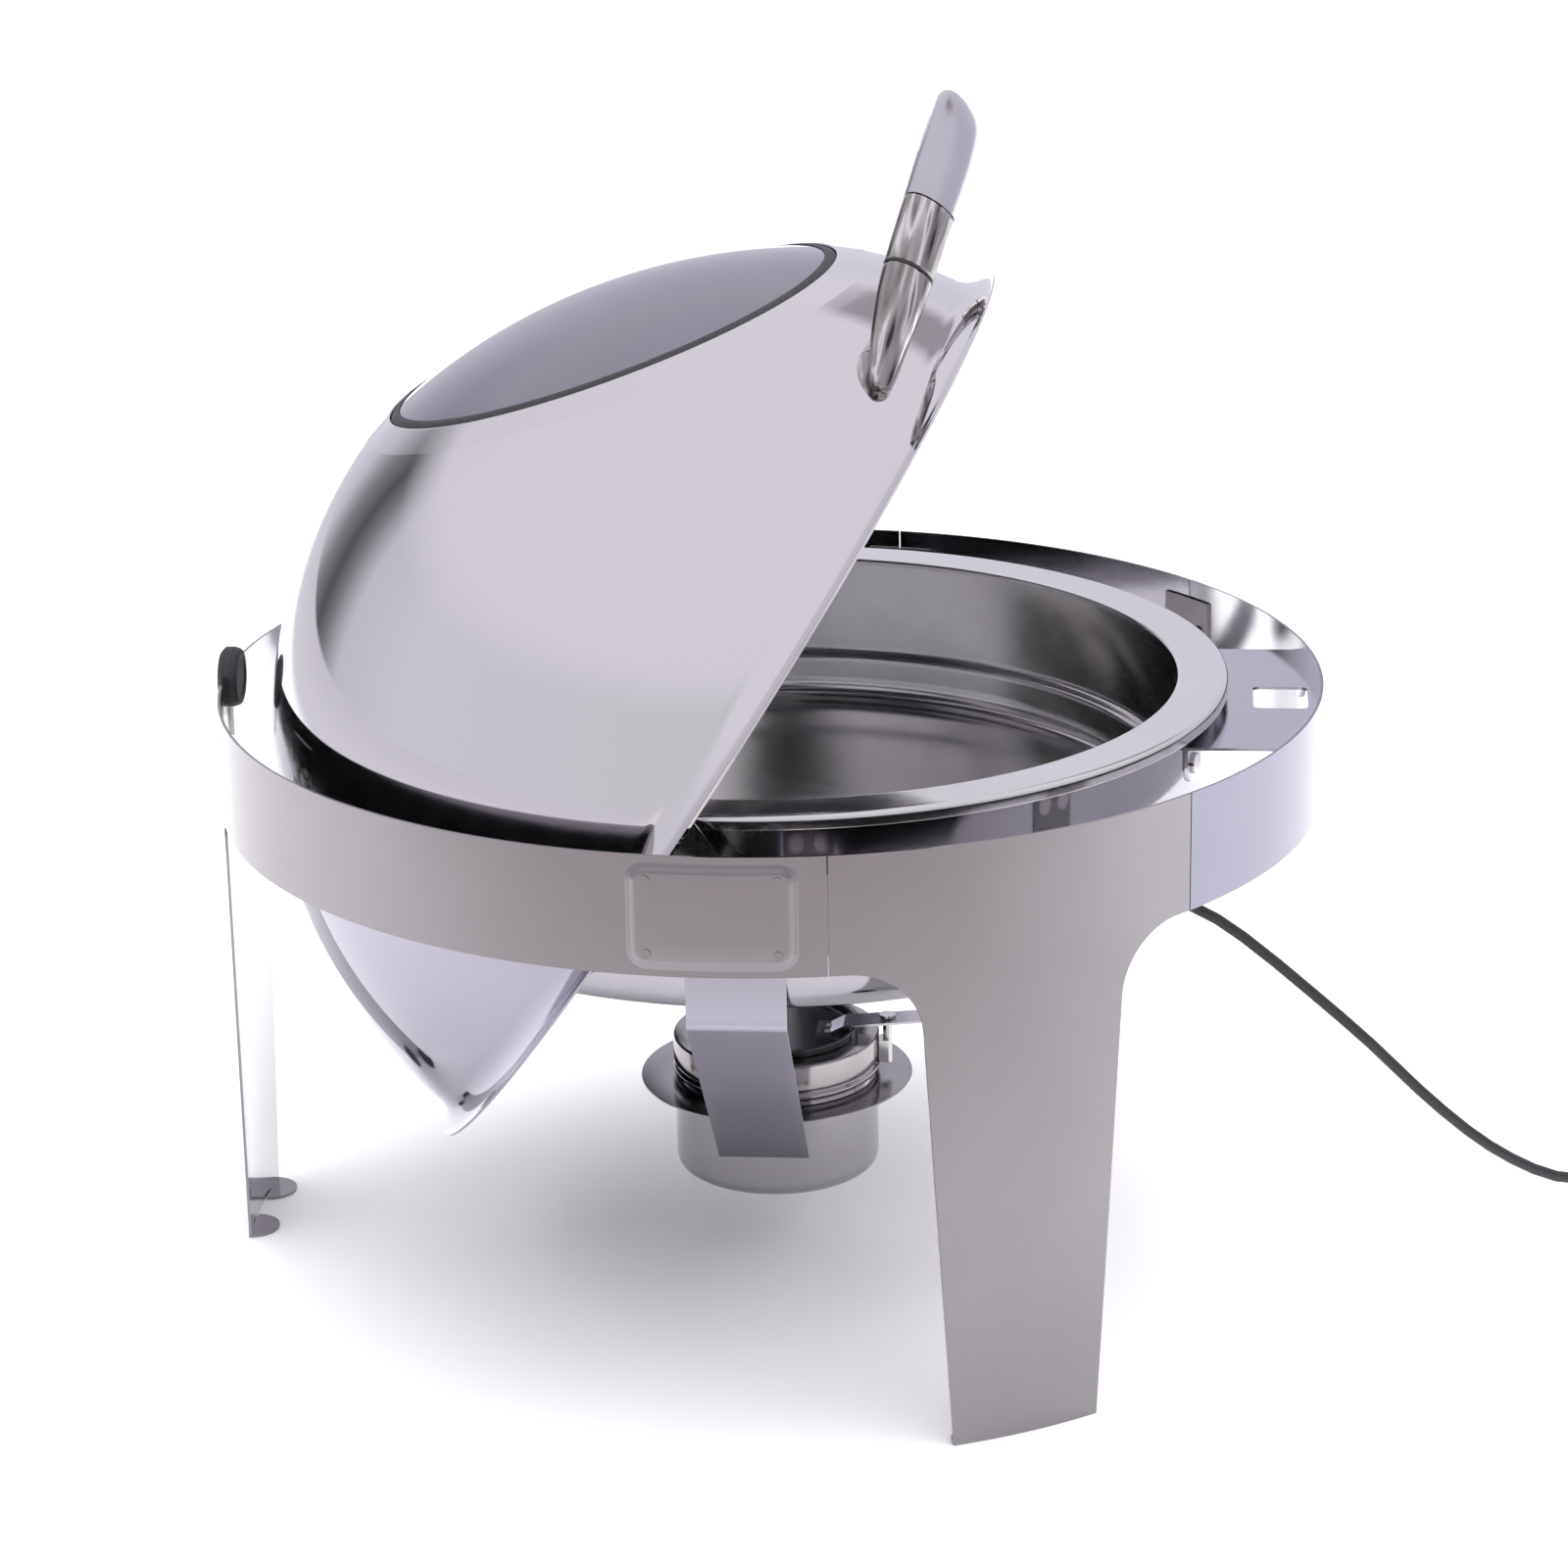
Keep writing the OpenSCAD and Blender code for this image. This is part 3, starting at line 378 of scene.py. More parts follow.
RING_R, SHEET, RING_IN = 235.0, 1.2, 233.8
LID_R, LID_T = 209.5, 1.0
LIP_R, RIM_H = 218.2, 23.0
PIVOT_Y, PIVOT_Z = 4.0, 228.7
RING_TOP, BAND_Z = 253.5, 204.5
LID_OPEN, WINDOW_TILT = 56.8, 37.7
WINDOW_R, SEAT_R = 100.0, 112.3
SEAT_H = math.sqrt(LID_R ** 2 - SEAT_R ** 2)
SILL_H = SEAT_H + 6.8
GLASS_R, GLASS_H = 97.4, SILL_H - 4.5
PAN_TOP, PAN_IN, PAN_RIM_R = 256.4, 173.0, 195.0
WATER_R, WATER_Z, WATER_TOP = 189.0, 167.4, 255.3

IN_LID = Matrix.Rotation(math.radians(-LID_OPEN), 4, "X")
IN_WINDOW = IN_LID @ Matrix.Rotation(math.radians(WINDOW_TILT), 4, "X")
PIVOT = Vector((0, PIVOT_Y, PIVOT_Z))


def in_lid(verts):
    return [tuple(IN_LID @ Vector(v) + PIVOT) for v in verts]


def polar(deg, r, z):
    """Point at an angle from the front, as in part.scad."""
    a = math.radians(deg)
    return (r * math.sin(a), -r * math.cos(a), z)


# ---------------------------------------------------------------- lid


def lid_shell():
    """One sheet from the window's sill over the crease and the dome to the rolled lip."""
    tilt = Matrix.Rotation(math.radians(WINDOW_TILT), 3, "X")
    n, u, v = tilt @ Vector((0, 0, 1)), tilt @ Vector((1, 0, 0)), tilt @ Vector((0, 1, 0))
    flare_h = RIM_H + 8.7 + 4
    wall = math.sqrt(LID_R ** 2 - flare_h ** 2)
    start = math.asin(SEAT_R / LID_R) + 0.03
    seat = rounded([(WINDOW_R - 0.5, SILL_H - 5.5), (WINDOW_R - 0.5, SILL_H, 0.9),
                    (SEAT_R, SEAT_H, 5.0),
                    (LID_R * math.sin(start), LID_R * math.cos(start))], 1.0, 8)
    cols, steps = 420, 90
    turns = [2 * math.pi * k / cols for k in range(cols)]
    across = [u * math.cos(w) + v * math.sin(w) for w in turns]
    rows = [[n * z + d * r for d in across] for r, z in seat]
    ends = [math.atan2(d.z, n.z) + math.acos(flare_h / LID_R / math.hypot(n.z, d.z))
            for d in across]
    for i in range(1, steps + 1):
        row = []
        for d, end in zip(across, ends):
            t = start + (end - start) * i / steps
            row.append((n * math.cos(t) + d * math.sin(t)) * LID_R)
        rows.append(row)
    rim = rows[-1]
    bend, drop = LIP_R - wall, flare_h - RIM_H - LID_T
    for a in range(8, 91, 8):
        w = math.radians(a)
        r, z = LIP_R - bend * math.cos(w), flare_h - drop * math.sin(w)
        rows.append([Vector((p.x, p.y, 0)).normalized() * r + Vector((0, 0, z)) for p in rim])
    verts, faces = grid(rows, closed=True)
    faces = [f[::-1] for f in faces]
    obj = make("lid_dome", in_lid(verts), faces, "lid", DOME, 60)
    thick(obj, LID_T, -1.0, 0.0, 45)
    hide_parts("lid_shell")


def window():
    rise = 19.0
    dome_r = (GLASS_R ** 2 + rise ** 2) / (2 * rise)
    top = GLASS_H + 4 + rise
    prof = []
    for k in range(31):
        r = (GLASS_R - 0.8) * k / 30
        prof.append((r, top - dome_r + math.sqrt(dome_r ** 2 - r ** 2)))
    z0 = prof[-1][1]
    prof += [(GLASS_R - 0.1, z0 - 0.5), (GLASS_R, z0 - 1.2), (GLASS_R, GLASS_H + 0.2),
             (GLASS_R - 0.4, GLASS_H)]
    for k in range(31):
        r = (GLASS_R - 2.5) * (1 - k / 30)
        z = top - 4 - dome_r + math.sqrt((dome_r - 0.2) ** 2 - r ** 2)
        prof.append((r, max(z, GLASS_H)))
    verts, faces = lathe(prof, 240, PIVOT, IN_WINDOW.to_3x3())
    obj = make("window_dome", verts, faces, "lid", GLASS, 35)
    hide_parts("window_glass")
    r = WINDOW_R - 0.9
    lip = z0 + 0.35
    prof = rounded([(r - 6, GLASS_H - 1.3), (r, GLASS_H - 1.3), (r, lip - 1.2, 0.8),
                    (GLASS_R - 0.6, lip + 0.2, 0.5), (GLASS_R - 2.6, lip + 0.9, 0.3),
                    (GLASS_R - 2.6, lip),
                    (GLASS_R + 0.1, lip - 1.4), (GLASS_R + 0.1, GLASS_H - 0.1),
                    (r - 6, GLASS_H - 0.1), (r - 6, GLASS_H - 1.3)], 0.2, 4)
    verts, faces = lathe(prof, 200, PIVOT, IN_WINDOW.to_3x3())
    obj = make("window_seal", verts, faces, "lid", RUBBER, 40)
    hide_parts("window_gasket")


def handle():
    half = [(103, -178, 46), (88, -196, 53.5), (68, -216, 60), (48, -239, 66), (26, -259, 71),
            (0, -266.5, 73)]
    whole = half + [(-x, y, z) for x, y, z in half[-2::-1]]
    per = 12
    path = smooth_path(whole, per)
    joint, ferrule, mid = 2 * per, 3 * per, 5 * per
    flat = Vector((0, 0.5, -1)).normalized()

    def a_at(i):
        if i <= joint:
            return 3.2 + 8.0 * math.sin(math.pi / 2 * i / joint)
        return 11.2 + 1.8 * math.sin(math.pi / 2 * min(1, (i - joint) / (mid - joint)))

    def b_at(i):
        if i <= joint:
            return 3 + 4.5 * math.sin(math.pi / 2 * i / joint)
        return 7.5 - math.sin(math.pi / 2 * min(1, (i - joint) / (mid - joint)))

    def part(name, i0, i1, side, seal=0.0):
        pts = [path[i] for i in range(i0, i1 + 1)]
        aa = [a_at(i) for i in range(i0, i1 + 1)]
        bb = [b_at(i) for i in range(i0, i1 + 1)]
        if seal:
            pts[0] = pts[0] + (pts[1] - pts[0]).normalized() * seal
        ends = []
        for at, to, a0, b0 in ((0, 1, aa[0], bb[0]), (-1, -2, aa[-1], bb[-1])):
            step = (pts[to] - pts[at]).normalized()
            ends.append((pts[at] + step * 0.05, pts[at] + step * 0.7, a0, b0))
        pts = [ends[0][0], ends[0][1]] + pts[1:-1] + [ends[1][1], ends[1][0]]
        aa = [ends[0][2] - 0.7, ends[0][2]] + aa[1:-1] + [ends[1][2], ends[1][2] - 0.7]
        bb = [ends[0][3] - 0.7, ends[0][3]] + bb[1:-1] + [ends[1][3], ends[1][3] - 0.7]
        verts, faces = sweep(pts, flat, aa, bb, 48, 2.2)
        out = []
        for p in verts:
            if p.length < LID_R - 0.3:
                p = p.normalized() * (LID_R - 0.3)
            out.append((p.x * side, p.y, p.z))
        if side < 0:
            faces = [f[::-1] for f in faces]
        obj = make(name, in_lid(out), faces, "lid", CAST[side], 50)
        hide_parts("handle_" + name)

    for side, word in ((1, "right"), (-1, "left")):
        part("foot_" + word, 0, joint, side)
        part("ferrule_" + word, joint, ferrule, side, 1.0)
    n = len(path) - 1
    pts = path[ferrule:n - ferrule + 1]
    aa = [a_at(min(i, n - i)) for i in range(ferrule, n - ferrule + 1)]
    bb = [b_at(min(i, n - i)) for i in range(ferrule, n - ferrule + 1)]
    verts, faces = sweep(pts, flat, aa, bb, 56, 2.3)
    obj = make("grip", in_lid(verts), faces, "lid", GRIP, 50)
    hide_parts("handle_grip")


def dome_steel():
    """The lid's mirror steel, its colour painted a little darker low down where it faces the floor:
    painted shade in its reflection of the floor.
    """
    mat, tree, shader, coords = nodes_of("dome_steel")
    shader.inputs["Metallic"].default_value = 1.0
    shader.inputs["Roughness"].default_value = 0.055
    split = tree.nodes.new("ShaderNodeSeparateXYZ")
    tree.links.new(coords.outputs["Object"], split.inputs["Vector"])
    # painted shade: darker base colour below 0.2 m, dimming the floor the dome reflects
    tree.links.new(ramp(tree, split.outputs["Z"], [
        (0.200, (0.37, 0.362, 0.425)), (0.235, (0.76, 0.75, 0.77)), (0.5, (0.765, 0.75, 0.77))])
        .outputs["Color"], shader.inputs["Base Color"])
    slow = noise(tree, coords, 9, 1)
    bump(tree, shader, slow.outputs["Fac"], 0.01, 0.004)
    return mat


DOME = dome_steel()
lid_shell()
window()
handle()

# ---------------------------------------------------------------- stand


LEG_TOP, LEG_FOOT, FILLET, TAB_R = 43.5, 32.25, 29.0, 11.5
LEG_TURN = 19.7


def leg_half_width(z):
    low = BAND_Z - FILLET
    chord = RING_R * math.sin(math.radians(LEG_TURN))
    if z <= low:
        return LEG_FOOT + (LEG_TOP - LEG_FOOT) * z / low
    if z < BAND_Z:
        return min(chord, LEG_TOP + FILLET - math.sqrt(max(0, FILLET ** 2 - (z - low) ** 2)))
    return chord


def leg(name, angle):
    low = BAND_Z - FILLET
    zs = [0.0, 0.8] + [low * k / 30 for k in range(1, 31)]
    zs += [low + FILLET * math.sin(math.pi / 2 * k / 26) for k in range(1, 27)]
    zs += [BAND_Z + 0.01, BAND_Z + 0.6]
    zs += [BAND_Z + (RING_TOP - BAND_Z) * k / 10 for k in range(1, 11)]
    turn = Matrix.Rotation(math.radians(angle), 3, "Z")
    rows = []
    cols = 28
    for z in zs:
        w = leg_half_width(z)
        rows.append([tuple(turn @ Vector((x, -math.sqrt(RING_R ** 2 - x * x), z)))
                     for x in (w * (2 * k / cols - 1) for k in range(cols + 1))])
    verts, faces = grid(rows)
    obj = make(name + "_sheet", verts, faces, "stand", BAND, 60)
    thick(obj, SHEET, -1.0, 0.0, 45, INSIDE)
    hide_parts(name)
    for s in (-1, 1):
        x0 = s * (LEG_FOOT - TAB_R)
        y0 = -math.sqrt(RING_IN ** 2 - x0 ** 2)
        ring = []
        for k in range(33):
            a = math.pi * k / 32
            ring.append((x0 + TAB_R * math.cos(a), y0 + TAB_R * math.sin(a)))
        vs, fs = [], []
        for z in (0.0, SHEET):
            vs += [tuple(turn @ Vector((x, min(y, 0), z))) for x, y in ring]
        m = len(ring)
        fs.append(tuple(range(m - 1, -1, -1)))
        fs.append(tuple(range(m, 2 * m)))
        fs += [(k, (k + 1) % m, m + (k + 1) % m, m + k) for k in range(m)]
        word = "b" if s > 0 else "a"
        tab = make(name + "_tab_" + word, vs, fs, "stand", BAND, 40)
        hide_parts(name)


def rail(name, a0, a1, mat):
    rows = []
    for z in (BAND_Z, BAND_Z + 0.5, BAND_Z + 24, RING_TOP - 0.5, RING_TOP):
        cols = 96
        rows.append([polar(a0 + (a1 - a0) * k / cols, RING_R, z) for k in range(cols + 1)])
    verts, faces = grid(rows)
    obj = make(name + "_sheet", verts, faces, "stand", mat, 60)
    thick(obj, SHEET, -1.0, 0.0, 45, INSIDE)
    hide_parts(name)


def hinge_cover(name, side):
    """Embossed plate: a flat rim, then a soft shoulder up to the raised field."""
    w, h, rad = 33.5, 22.0, 8.0
    zc = RING_TOP - 2.5 - h
    turn = math.asin((PIVOT_Y - 1.5) / RING_R)
    n, m = 110, 80
    rows = []
    for j in range(m + 1):
        row = []
        for i in range(n + 1):
            y, z = w * (2 * i / n - 1), h * (2 * j / m - 1)
            ex, ez = abs(y) - (w - rad), abs(z) - (h - rad)
            if ex > 0 and ez > 0:
                d = math.hypot(ex, ez)
                far = max(ex, ez)
                y = math.copysign(w - rad + ex * far / d, y)
                z = math.copysign(h - rad + ez * far / d, z)
                inset = rad - far
            else:
                inset = min(w - abs(y), h - abs(z))
            t = min(1, max(0, (inset - 1.0) / 3.2))
            wide = min(1, max(0, (inset - 1.0) / 12))
            lift = 0.3 + 1.0 * t * t * (3 - 2 * t) + 0.5 * (1 - (1 - wide) ** 2)
            a = y / (RING_R + lift) - turn
            r = RING_R + lift if inset >= 0.05 else RING_R - 0.2
            row.append((side * r * math.cos(a), -r * math.sin(a), zc + z))
        rows.append(row)
    verts, faces = grid(rows)
    if side < 0:
        faces = [f[::-1] for f in faces]
    obj = make(name + "_plate", verts, faces, "stand", BAND, 50)
    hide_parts(name)


for word, angle in (("front_left", -60), ("front_right", 60), ("back", 180)):
    leg("leg_" + word, angle)
GAP = 0.13
rail("rail_front", -40.3 + GAP, 40.3 - GAP, FRONT)
rail("rail_left", -160.3 + GAP, -79.7 - GAP, BAND)
rail("rail_right", 79.7 + GAP, 160.3 - GAP, FRONT)
hinge_cover("hinge_cover_left", -1)
hinge_cover("hinge_cover_right", 1)


def turned(name, node, profile, body, mat, seg=200, smooth=35.0):
    verts, faces = lathe(profile, seg)
    obj = make(name, verts, faces, body, mat, smooth)
    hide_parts(node)
    return obj


def pans():
    t = 1.0
    prof = rounded([
        (0, WATER_Z + t), (WATER_R - t, WATER_Z + t, 24), (WATER_R - t, WATER_TOP, 0.4),
        (WATER_R, WATER_TOP, 0.4), (WATER_R, WATER_Z, 25), (0, WATER_Z)], 1, 14)
    turned("water_pan_bowl", "water_pan", prof, "stand", BOWL, 240, 50)
    step_r, low, step = PAN_IN - 6, PAN_TOP - 65, PAN_TOP - 45
    prof = rounded([
        (0, low), (step_r, low, 22), (step_r, step, 3.5), (PAN_IN, step, 3.0),
        (PAN_IN, PAN_TOP, 2.6), (PAN_RIM_R, PAN_TOP, 3.0), (PAN_RIM_R, PAN_TOP - 6, 0.4),
        (PAN_RIM_R - t, PAN_TOP - 6, 0.4), (PAN_RIM_R - t, PAN_TOP - t, 2.4),
        (PAN_IN + t, PAN_TOP - t, 2), (PAN_IN + t, step - t, 3), (step_r + t, step - t, 3),
        (step_r + t, low - t, 23), (0, low - t)], 1, 10)
    turned("food_pan_bowl", "food_pan", prof, "food_pan", PAN, 240, 50)


pans()

# ---------------------------------------------------------------- burner

HOLDER_R, HOLDER_Z, FLANGE_Z = 44.5, 29.4, 71.4
DRUM_R, DRUM_Z, DRUM_TOP = 45.4, 72.5, 90.5


def burner():
    prof = rounded([
        (0, HOLDER_Z + 1), (HOLDER_R - 1, HOLDER_Z + 1, 5), (HOLDER_R - 1, FLANGE_Z, 1.2),
        (HOLDER_R + 15, FLANGE_Z, 0.4), (HOLDER_R + 15, FLANGE_Z - 1, 0.4),
        (HOLDER_R, FLANGE_Z - 1, 0.8), (HOLDER_R, HOLDER_Z, 6), (0, HOLDER_Z)], 1, 8)
    turned("holder_cup", "burner_holder", prof, "stand", SATIN, 160, 50)
    wall = DRUM_R - 0.9
    prof = rounded([
        (0, 31.6), (39.3, 31.6), (39.3, DRUM_Z), (wall - 1.8, DRUM_Z),
        (wall - 1.8, DRUM_TOP - 1), (33.5, DRUM_TOP - 1), (33.5, DRUM_TOP, 0.3),
        (DRUM_R - 0.2, DRUM_TOP, 1.2), (DRUM_R - 0.2, DRUM_Z + 6.6, 0.8),
        (wall - 0.9, DRUM_Z + 5.2, 1.2),
        (DRUM_R, DRUM_Z + 3.6, 1.2), (DRUM_R, DRUM_Z + 2.2, 1.2), (wall - 0.8, DRUM_Z + 1),
        (wall, DRUM_Z - 0.9, 0.3), (40.3, DRUM_Z - 0.9), (40.3, 30.7), (0, 30.7)], 0.4, 5)
    turned("drum_body", "burner_drum", prof, "burner", DRUM, 160, 50)
    prof = rounded([
        (0, 91.2), (33.2, 91.2, 1.5), (34.6, 94.0, 0.6), (36, 94.0, 0.6), (36, 90.7, 0.3),
        (0, 90.7)], 0.4, 6)
    turned("cover_disc", "burner_cover", prof, "burner_cover", COVER, 160, 40)


burner()


def strip(name, side):
    """Flat strip with a soft bend, from behind the hinge's cover down to the holder."""
    sx, top, bend_z, low_z = 231.9, 240.7, 182.5, 49.4
    pts = [(sx, -6, top), (sx, -6, bend_z), (HOLDER_R + 0.6, 2, low_z)]
    path = rounded([(p[0], p[2], 4.0) for p in pts], 4.0, 8)
    rows = []
    for x, z in path:
        t = min(1, max(0, (bend_z - z) / (bend_z - low_z)))
        yc = -6 + 8 * t
        rows.append([(side * x, yc + 19.5 * (2 * k / 8 - 1), z) for k in range(9)])
    verts, faces = grid(rows)
    obj = make(name + "_sheet", verts, faces, "stand", STRIP, 50)
    thick(obj, SHEET, 0.0, 0.25, 40)
    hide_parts(name)


strip("burner_strip_left", -1)
strip("burner_strip_right", 1)

# ---------------------------------------------------------------- bumper


def bumper():
    y0, y1, z = 229.2, 237.7, 250.0
    prof = rounded([(0, 0.6), (7.5, 0.6, 1.0), (9.0, 0.0, 0.8), (12.0, 0.0, 1.4), (13.0, 3.0, 1.0),
                    (13.0, y1 - y0 - 2, 1.5), (11.0, y1 - y0, 1.4), (0, y1 - y0)], 1.0, 6)
    turn = Matrix.Rotation(math.radians(-90), 3, "X")
    verts, faces = lathe(prof, 96, (0, y0, z), turn)
    obj = make("bumper_disc", verts, faces, "stand", RUBBER, 40)
    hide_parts("bumper")


bumper()

# ---------------------------------------------------------------- lead

ROUTE = [
    (0, -101, 159.4), (0, -112, 159.3), (1, -132, 158.5), (3, -156, 156), (6, -181, 148.5),
    (10, -203, 133.5), (15, -233, 106.5), (20, -260, 80.5), (25, -282, 57), (30, -304, 36),
    (36, -324, 20.5), (44, -345, 8.7), (54, -366, 4), (64, -387, 2.7), (71, -405, 2.7),
    (74.6, -419, 2.7), (75.4, -431, 2.7)]
COIL = Vector((107, -431, 0))
COIL_TURNS, COIL_OUT, LEAD_OUT = 4.4, 31.6, 31.0


def ease(f, f0, f1):
    t = min(1, max(0, (f - f0) / (f1 - f0)))
    return t * t * (3 - 2 * t)


def coil_points():
    """Three layers of two turns: out, in, up, out, up, and off at the top."""
    pts = []
    count = int(COIL_TURNS * 30)
    for i in range(1, count + 1):
        t = i / 30
        k, f = int(t), t - int(t)
        if t >= COIL_TURNS:
            k, f = 4, COIL_TURNS - 4
        r, z = COIL_OUT, 2.7
        if k == 0:
            r = COIL_OUT - 5.2 * ease(f, 0.85, 1.0)
        elif k == 1:
            r, z = COIL_OUT - 5.2, 2.7 + 5.1 * ease(f, 0.70, 0.85)
        elif k == 2:
            r, z = COIL_OUT - 5.2 + 5.2 * ease(f, 0.55, 0.70), 7.8
        elif k == 3:
            z = 7.8 + 5.1 * ease(f, 0.40, 0.55)
        else:
            z = 12.9
        a = math.pi + 2 * math.pi * t
        pts.append(COIL + Vector((r * math.cos(a), r * math.sin(a), z)))
    return pts


def lead():
    pts = smooth_path(ROUTE, 2) + coil_points()
    a = math.pi + 2 * math.pi * COIL_TURNS
    end = COIL + Vector((COIL_OUT * math.cos(a), COIL_OUT * math.sin(a), 12.9))
    out = Vector((-math.sin(a), math.cos(a), 0))
    pts[-1] = end
    pts += [end + out * (LEAD_OUT * k / 3) for k in (1, 2, 3)]
    curve = bpy.data.curves.new("lead", "CURVE")
    curve.dimensions = "3D"
    curve.bevel_depth = 2.5 * MM
    curve.bevel_resolution = 6
    curve.use_fill_caps = True
    spline = curve.splines.new("POLY")
    spline.points.add(len(pts) - 1)
    for point, p in zip(spline.points, pts):
        point.co = (*(p * MM), 1)
    obj = bpy.data.objects.new("lead", curve)
    bpy.context.scene.collection.objects.link(obj)
    curve.materials.append(LEAD)
    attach(obj, "stand")
    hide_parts("cord", "cord_coil")

    def at_plug(v):
        side = Vector((-out.y, out.x, 0)) * -1
        return tuple(end + side * v[0] + out * v[1] + Vector((0, 0, v[2])))

    rows = []
    for y, w in ((-1, 6.5), (0.3, 8.2), (6, 10.4), (14, 12.6), (38.6, 12.6), (39.8, 12.0)):
        row = []
        for k in range(48):
            c, s = math.cos(2 * math.pi * k / 48), math.sin(2 * math.pi * k / 48)
            row.append(at_plug((w * math.copysign(abs(c) ** 0.5, c), LEAD_OUT + y,
                                w * math.copysign(abs(s) ** 0.5, s))))
        rows.append(row)
    verts, faces = grid(rows, closed=True)
    faces += [tuple(range(47, -1, -1)), tuple(range(5 * 48, 6 * 48))]
    body = make("plug_body", verts, faces, "stand", PLASTIC, 35)
    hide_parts("plug")


lead()

# ---------------------------------------------------------------- carried CAD nodes

LOOK = {
    "seam_plates": SEAM, "seam_rivets": HARDWARE, "hinge_cover_rivets": BAND,
    "hinge_bracket_left": HARDWARE, "hinge_bracket_right": HARDWARE, "hinge_pin_left": HARDWARE,
    "hinge_pin_right": HARDWARE, "hinge_spacers": HARDWARE, "front_shelf": SHELF,
    "shelf_rivets": HARDWARE, "pan_bolts": HARDWARE, "bumper_clip": HARDWARE,
    "heater_housing": CASE, "heater_screws": HARDWARE, "cord_gland": RUBBER, "cord_tie": PLASTIC,
    "plug_pins": HARDWARE, "window_clamp_ring": HARDWARE, "lid_arm_left": HARDWARE,
    "lid_arm_right": HARDWARE, "handle_seals": RUBBER, "handle_screws": HARDWARE,
    "fuel_cup": SATIN, "drum_rivets": HARDWARE, "cover_post": HARDWARE, "cover_handle": GRIP,
    "cover_rivets": HARDWARE,
}
for name, mat in LOOK.items():
    obj = NODES[name]
    for s in obj.material_slots:
        s.link = "OBJECT"
        s.material = mat

# ---------------------------------------------------------------- floor, world and lights


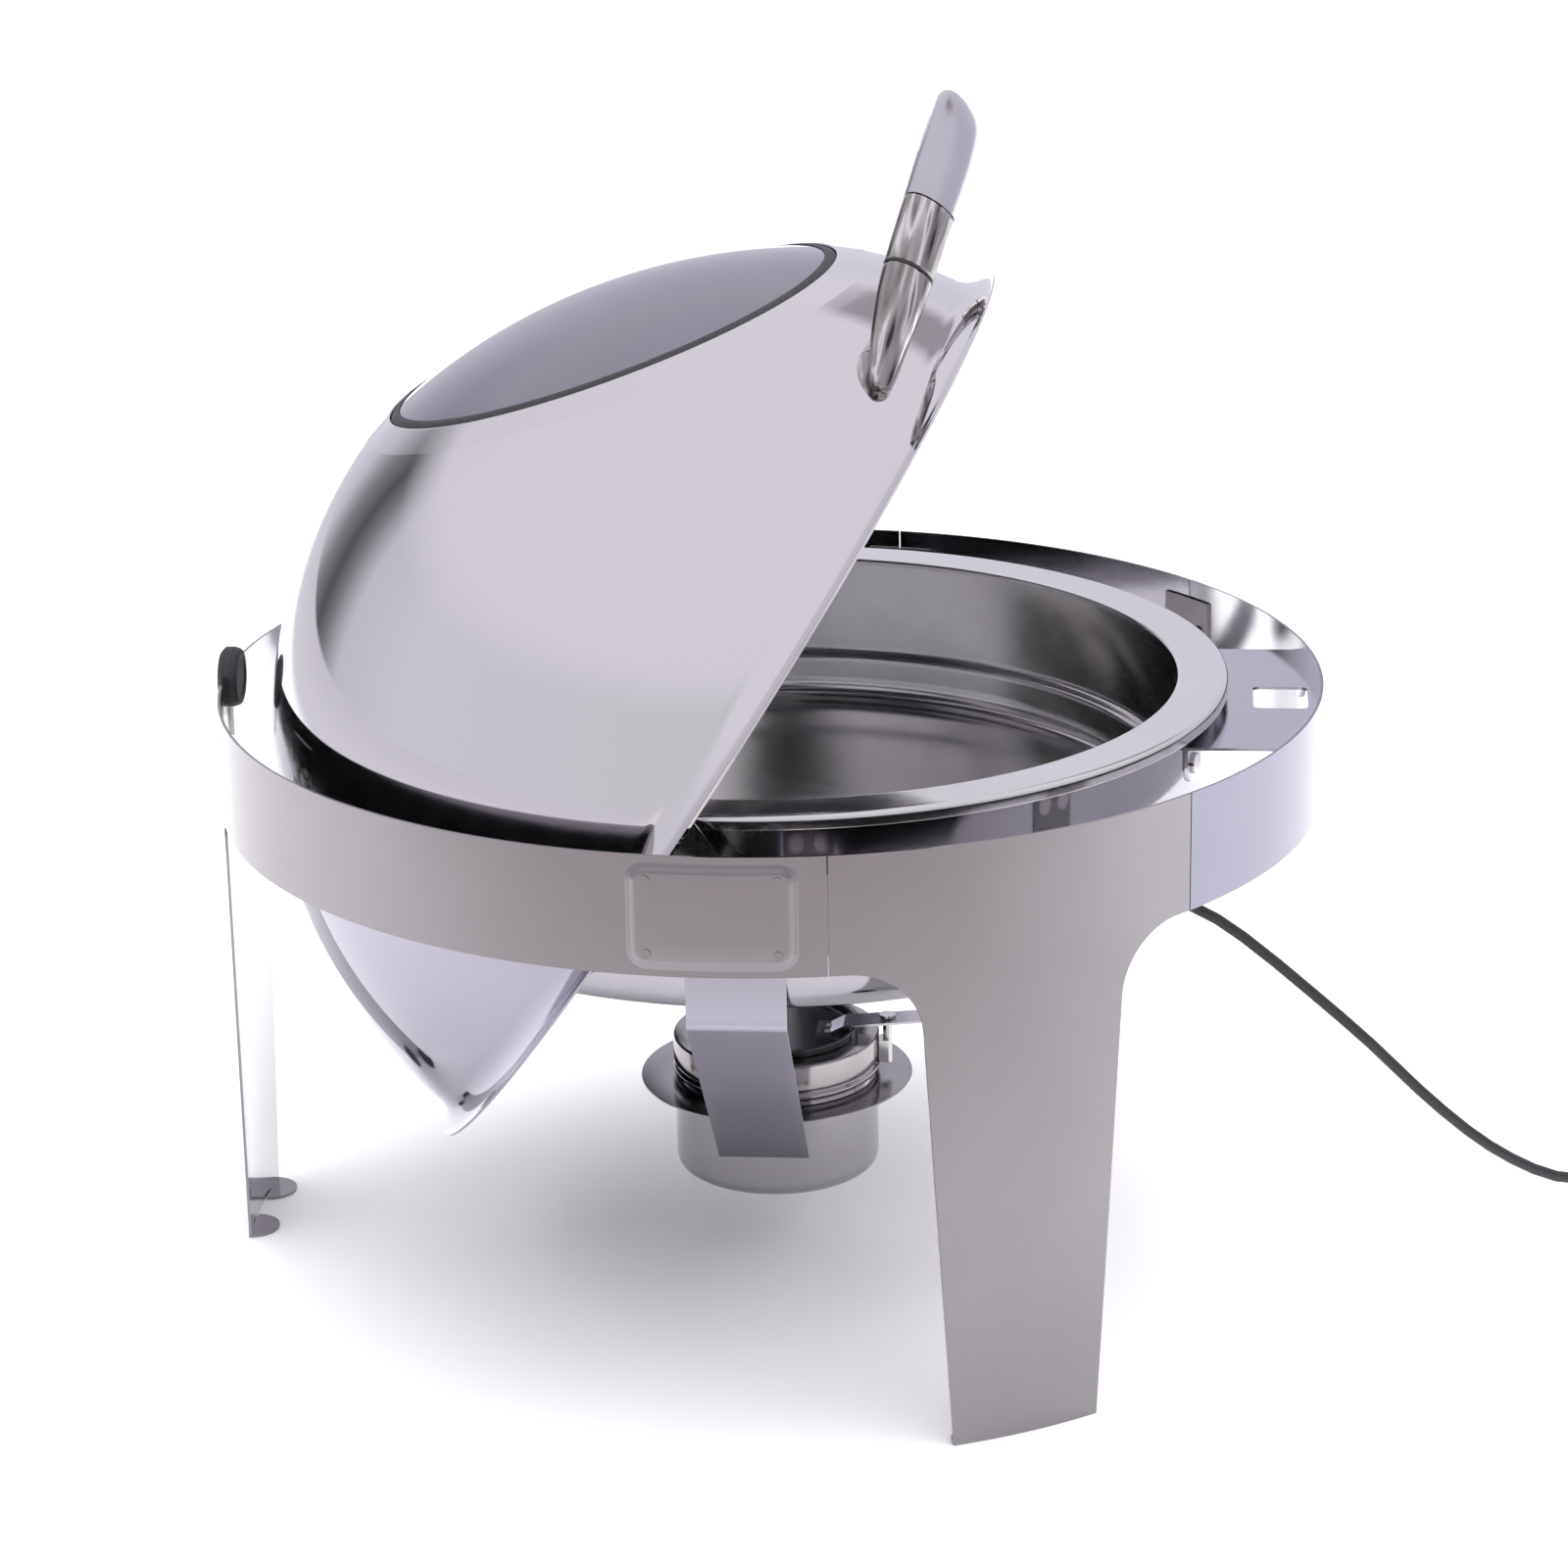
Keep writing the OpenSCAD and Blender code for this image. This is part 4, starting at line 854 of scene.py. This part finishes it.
def studio():
    mesh = bpy.data.meshes.new("floor")
    mesh.from_pydata([(-8, -8, 0), (8, -8, 0), (8, 8, 0), (-8, 8, 0)], [], [(0, 1, 2, 3)])
    floor = bpy.data.objects.new("floor", mesh)
    bpy.context.scene.collection.objects.link(floor)
    mat, tree, shader, coords = nodes_of("floor_with_painted_shade")
    # painted shade: the floor darkens towards -X, in front of the stand, dimming what the band and
    # legs reflect
    split = tree.nodes.new("ShaderNodeSeparateXYZ")
    tree.links.new(coords.outputs["Object"], split.inputs["Vector"])
    fade = tree.nodes.new("ShaderNodeMapRange")
    fade.interpolation_type = "SMOOTHSTEP"
    fade.inputs["From Min"].default_value = -0.95
    fade.inputs["From Max"].default_value = 0.05
    tree.links.new(split.outputs["X"], fade.inputs["Value"])
    # painted shade: the floor also darkens beyond y 1 m, dimming the floor seen in the dome
    side = tree.nodes.new("ShaderNodeMapRange")
    side.interpolation_type = "SMOOTHSTEP"
    side.inputs["From Min"].default_value = 1.5
    side.inputs["From Max"].default_value = 1.0
    tree.links.new(split.outputs["Y"], side.inputs["Value"])
    near = ramp(tree, fade.outputs["Result"], [
        (0.0, (0.52, 0.49, 0.48)), (1.0, (0.96, 0.96, 0.955))])
    tone = mix(tree, side.outputs["Result"], (0.45, 0.44, 0.46), near.outputs["Color"])
    tree.links.new(tone, shader.inputs["Base Color"])
    shader.inputs["Roughness"].default_value = 0.9
    shader.inputs["Specular IOR Level"].default_value = 0.1
    mesh.materials.append(mat)

    world = bpy.data.worlds.new("studio")
    bpy.context.scene.world = world
    world.use_nodes = True
    tree = world.node_tree
    back = tree.nodes["Background"]
    coords = tree.nodes.new("ShaderNodeTexCoord")
    split = tree.nodes.new("ShaderNodeSeparateXYZ")
    tree.links.new(coords.outputs["Generated"], split.inputs["Vector"])
    turn = tree.nodes.new("ShaderNodeMath")
    turn.operation = "ARCTAN2"
    tree.links.new(split.outputs["Y"], turn.inputs[0])
    tree.links.new(split.outputs["X"], turn.inputs[1])
    unit = tree.nodes.new("ShaderNodeMath")
    unit.operation = "MULTIPLY_ADD"
    unit.inputs[1].default_value = 1 / (2 * math.pi)
    unit.inputs[2].default_value = 0.5
    tree.links.new(turn.outputs["Value"], unit.inputs[0])
    # 0 and 1 are -X, 0.25 is -Y, 0.5 is +X and 0.75 is +Y
    pale, high = (0.75, 0.725, 0.80), (0.83, 0.80, 0.87)
    around = ramp(tree, unit.outputs["Value"], [
        (0.0, (0.70, 0.68, 0.72)), (0.15, (0.64, 0.62, 0.70)), (0.38, (0.66, 0.64, 0.74)),
        (0.56, (0.80, 0.78, 0.88)), (0.598, (0.62, 0.60, 0.68)), (0.622, (0.26, 0.25, 0.275)),
        (0.645, (0.10, 0.098, 0.11)), (0.662, (0.24, 0.23, 0.26)), (0.688, (0.66, 0.64, 0.70)),
        (0.76, pale), (1.0, (0.70, 0.68, 0.72))])
    up = ramp(tree, split.outputs["Z"], [
        (0.0, (0.0,) * 3), (0.34, (0.0,) * 3), (0.50, (0.92,) * 3), (1.0, (1.0,) * 3)])
    mixed = mix(tree, up.outputs["Color"], around.outputs["Color"], high)
    # a soft dark patch over the front, seen in the dome beside the handle
    wide = ramp(tree, unit.outputs["Value"], [
        (0.385, (0.0,) * 3), (0.41, (1.0,) * 3), (0.472, (1.0,) * 3), (0.486, (0.0,) * 3)])
    tall = ramp(tree, split.outputs["Z"], [
        (0.46, (0.0,) * 3), (0.55, (1.0,) * 3), (0.70, (1.0,) * 3), (0.76, (0.0,) * 3)])
    patch = tree.nodes.new("ShaderNodeMath")
    patch.operation = "MULTIPLY"
    tree.links.new(wide.outputs["Color"], patch.inputs[0])
    tree.links.new(tall.outputs["Color"], patch.inputs[1])
    shown = mix(tree, patch.outputs["Value"], mixed, (0.38, 0.36, 0.40))
    tree.links.new(shown, back.inputs["Color"])
    back.inputs["Strength"].default_value = 1.0

    def area(name, at, to, size, power):
        data = bpy.data.lights.new(name, "AREA")
        data.shape, data.size, data.energy = "DISK", size, power
        lamp = bpy.data.objects.new(name, data)
        bpy.context.scene.collection.objects.link(lamp)
        lamp.location = at
        lamp.rotation_mode = "QUATERNION"
        lamp.rotation_quaternion = (Vector(to) - Vector(at)).to_track_quat("-Z", "Y")
        lamp.visible_glossy = False

    def sky(name, tilt, turn, power):
        data = bpy.data.lights.new(name, "SUN")
        data.energy, data.angle = power, math.radians(120)
        lamp = bpy.data.objects.new(name, data)
        bpy.context.scene.collection.objects.link(lamp)
        lamp.rotation_euler = (math.radians(tilt), math.radians(turn), 0)
        lamp.visible_glossy = False

    area("key", (-0.6, -1.8, 2.4), (0, 0, 0.2), 1.6, 12)
    area("fill", (-1.4, 2.0, 1.8), (0, 0, 0.2), 1.4, 4)
    area("top", (0.6, 0.2, 3.0), (0.3, 0, 0.2), 2.4, 18)
    sky("sky", 12, 8, 1.2)
    sky("sky_near", 0, -58, 1.0)
    sky("sky_far", 0, 58, 0.9)
    sky("sky_left", 58, 0, 0.5)
    scene = bpy.context.scene
    scene.view_settings.view_transform = "Standard"
    scene.view_settings.look = "None"


studio()
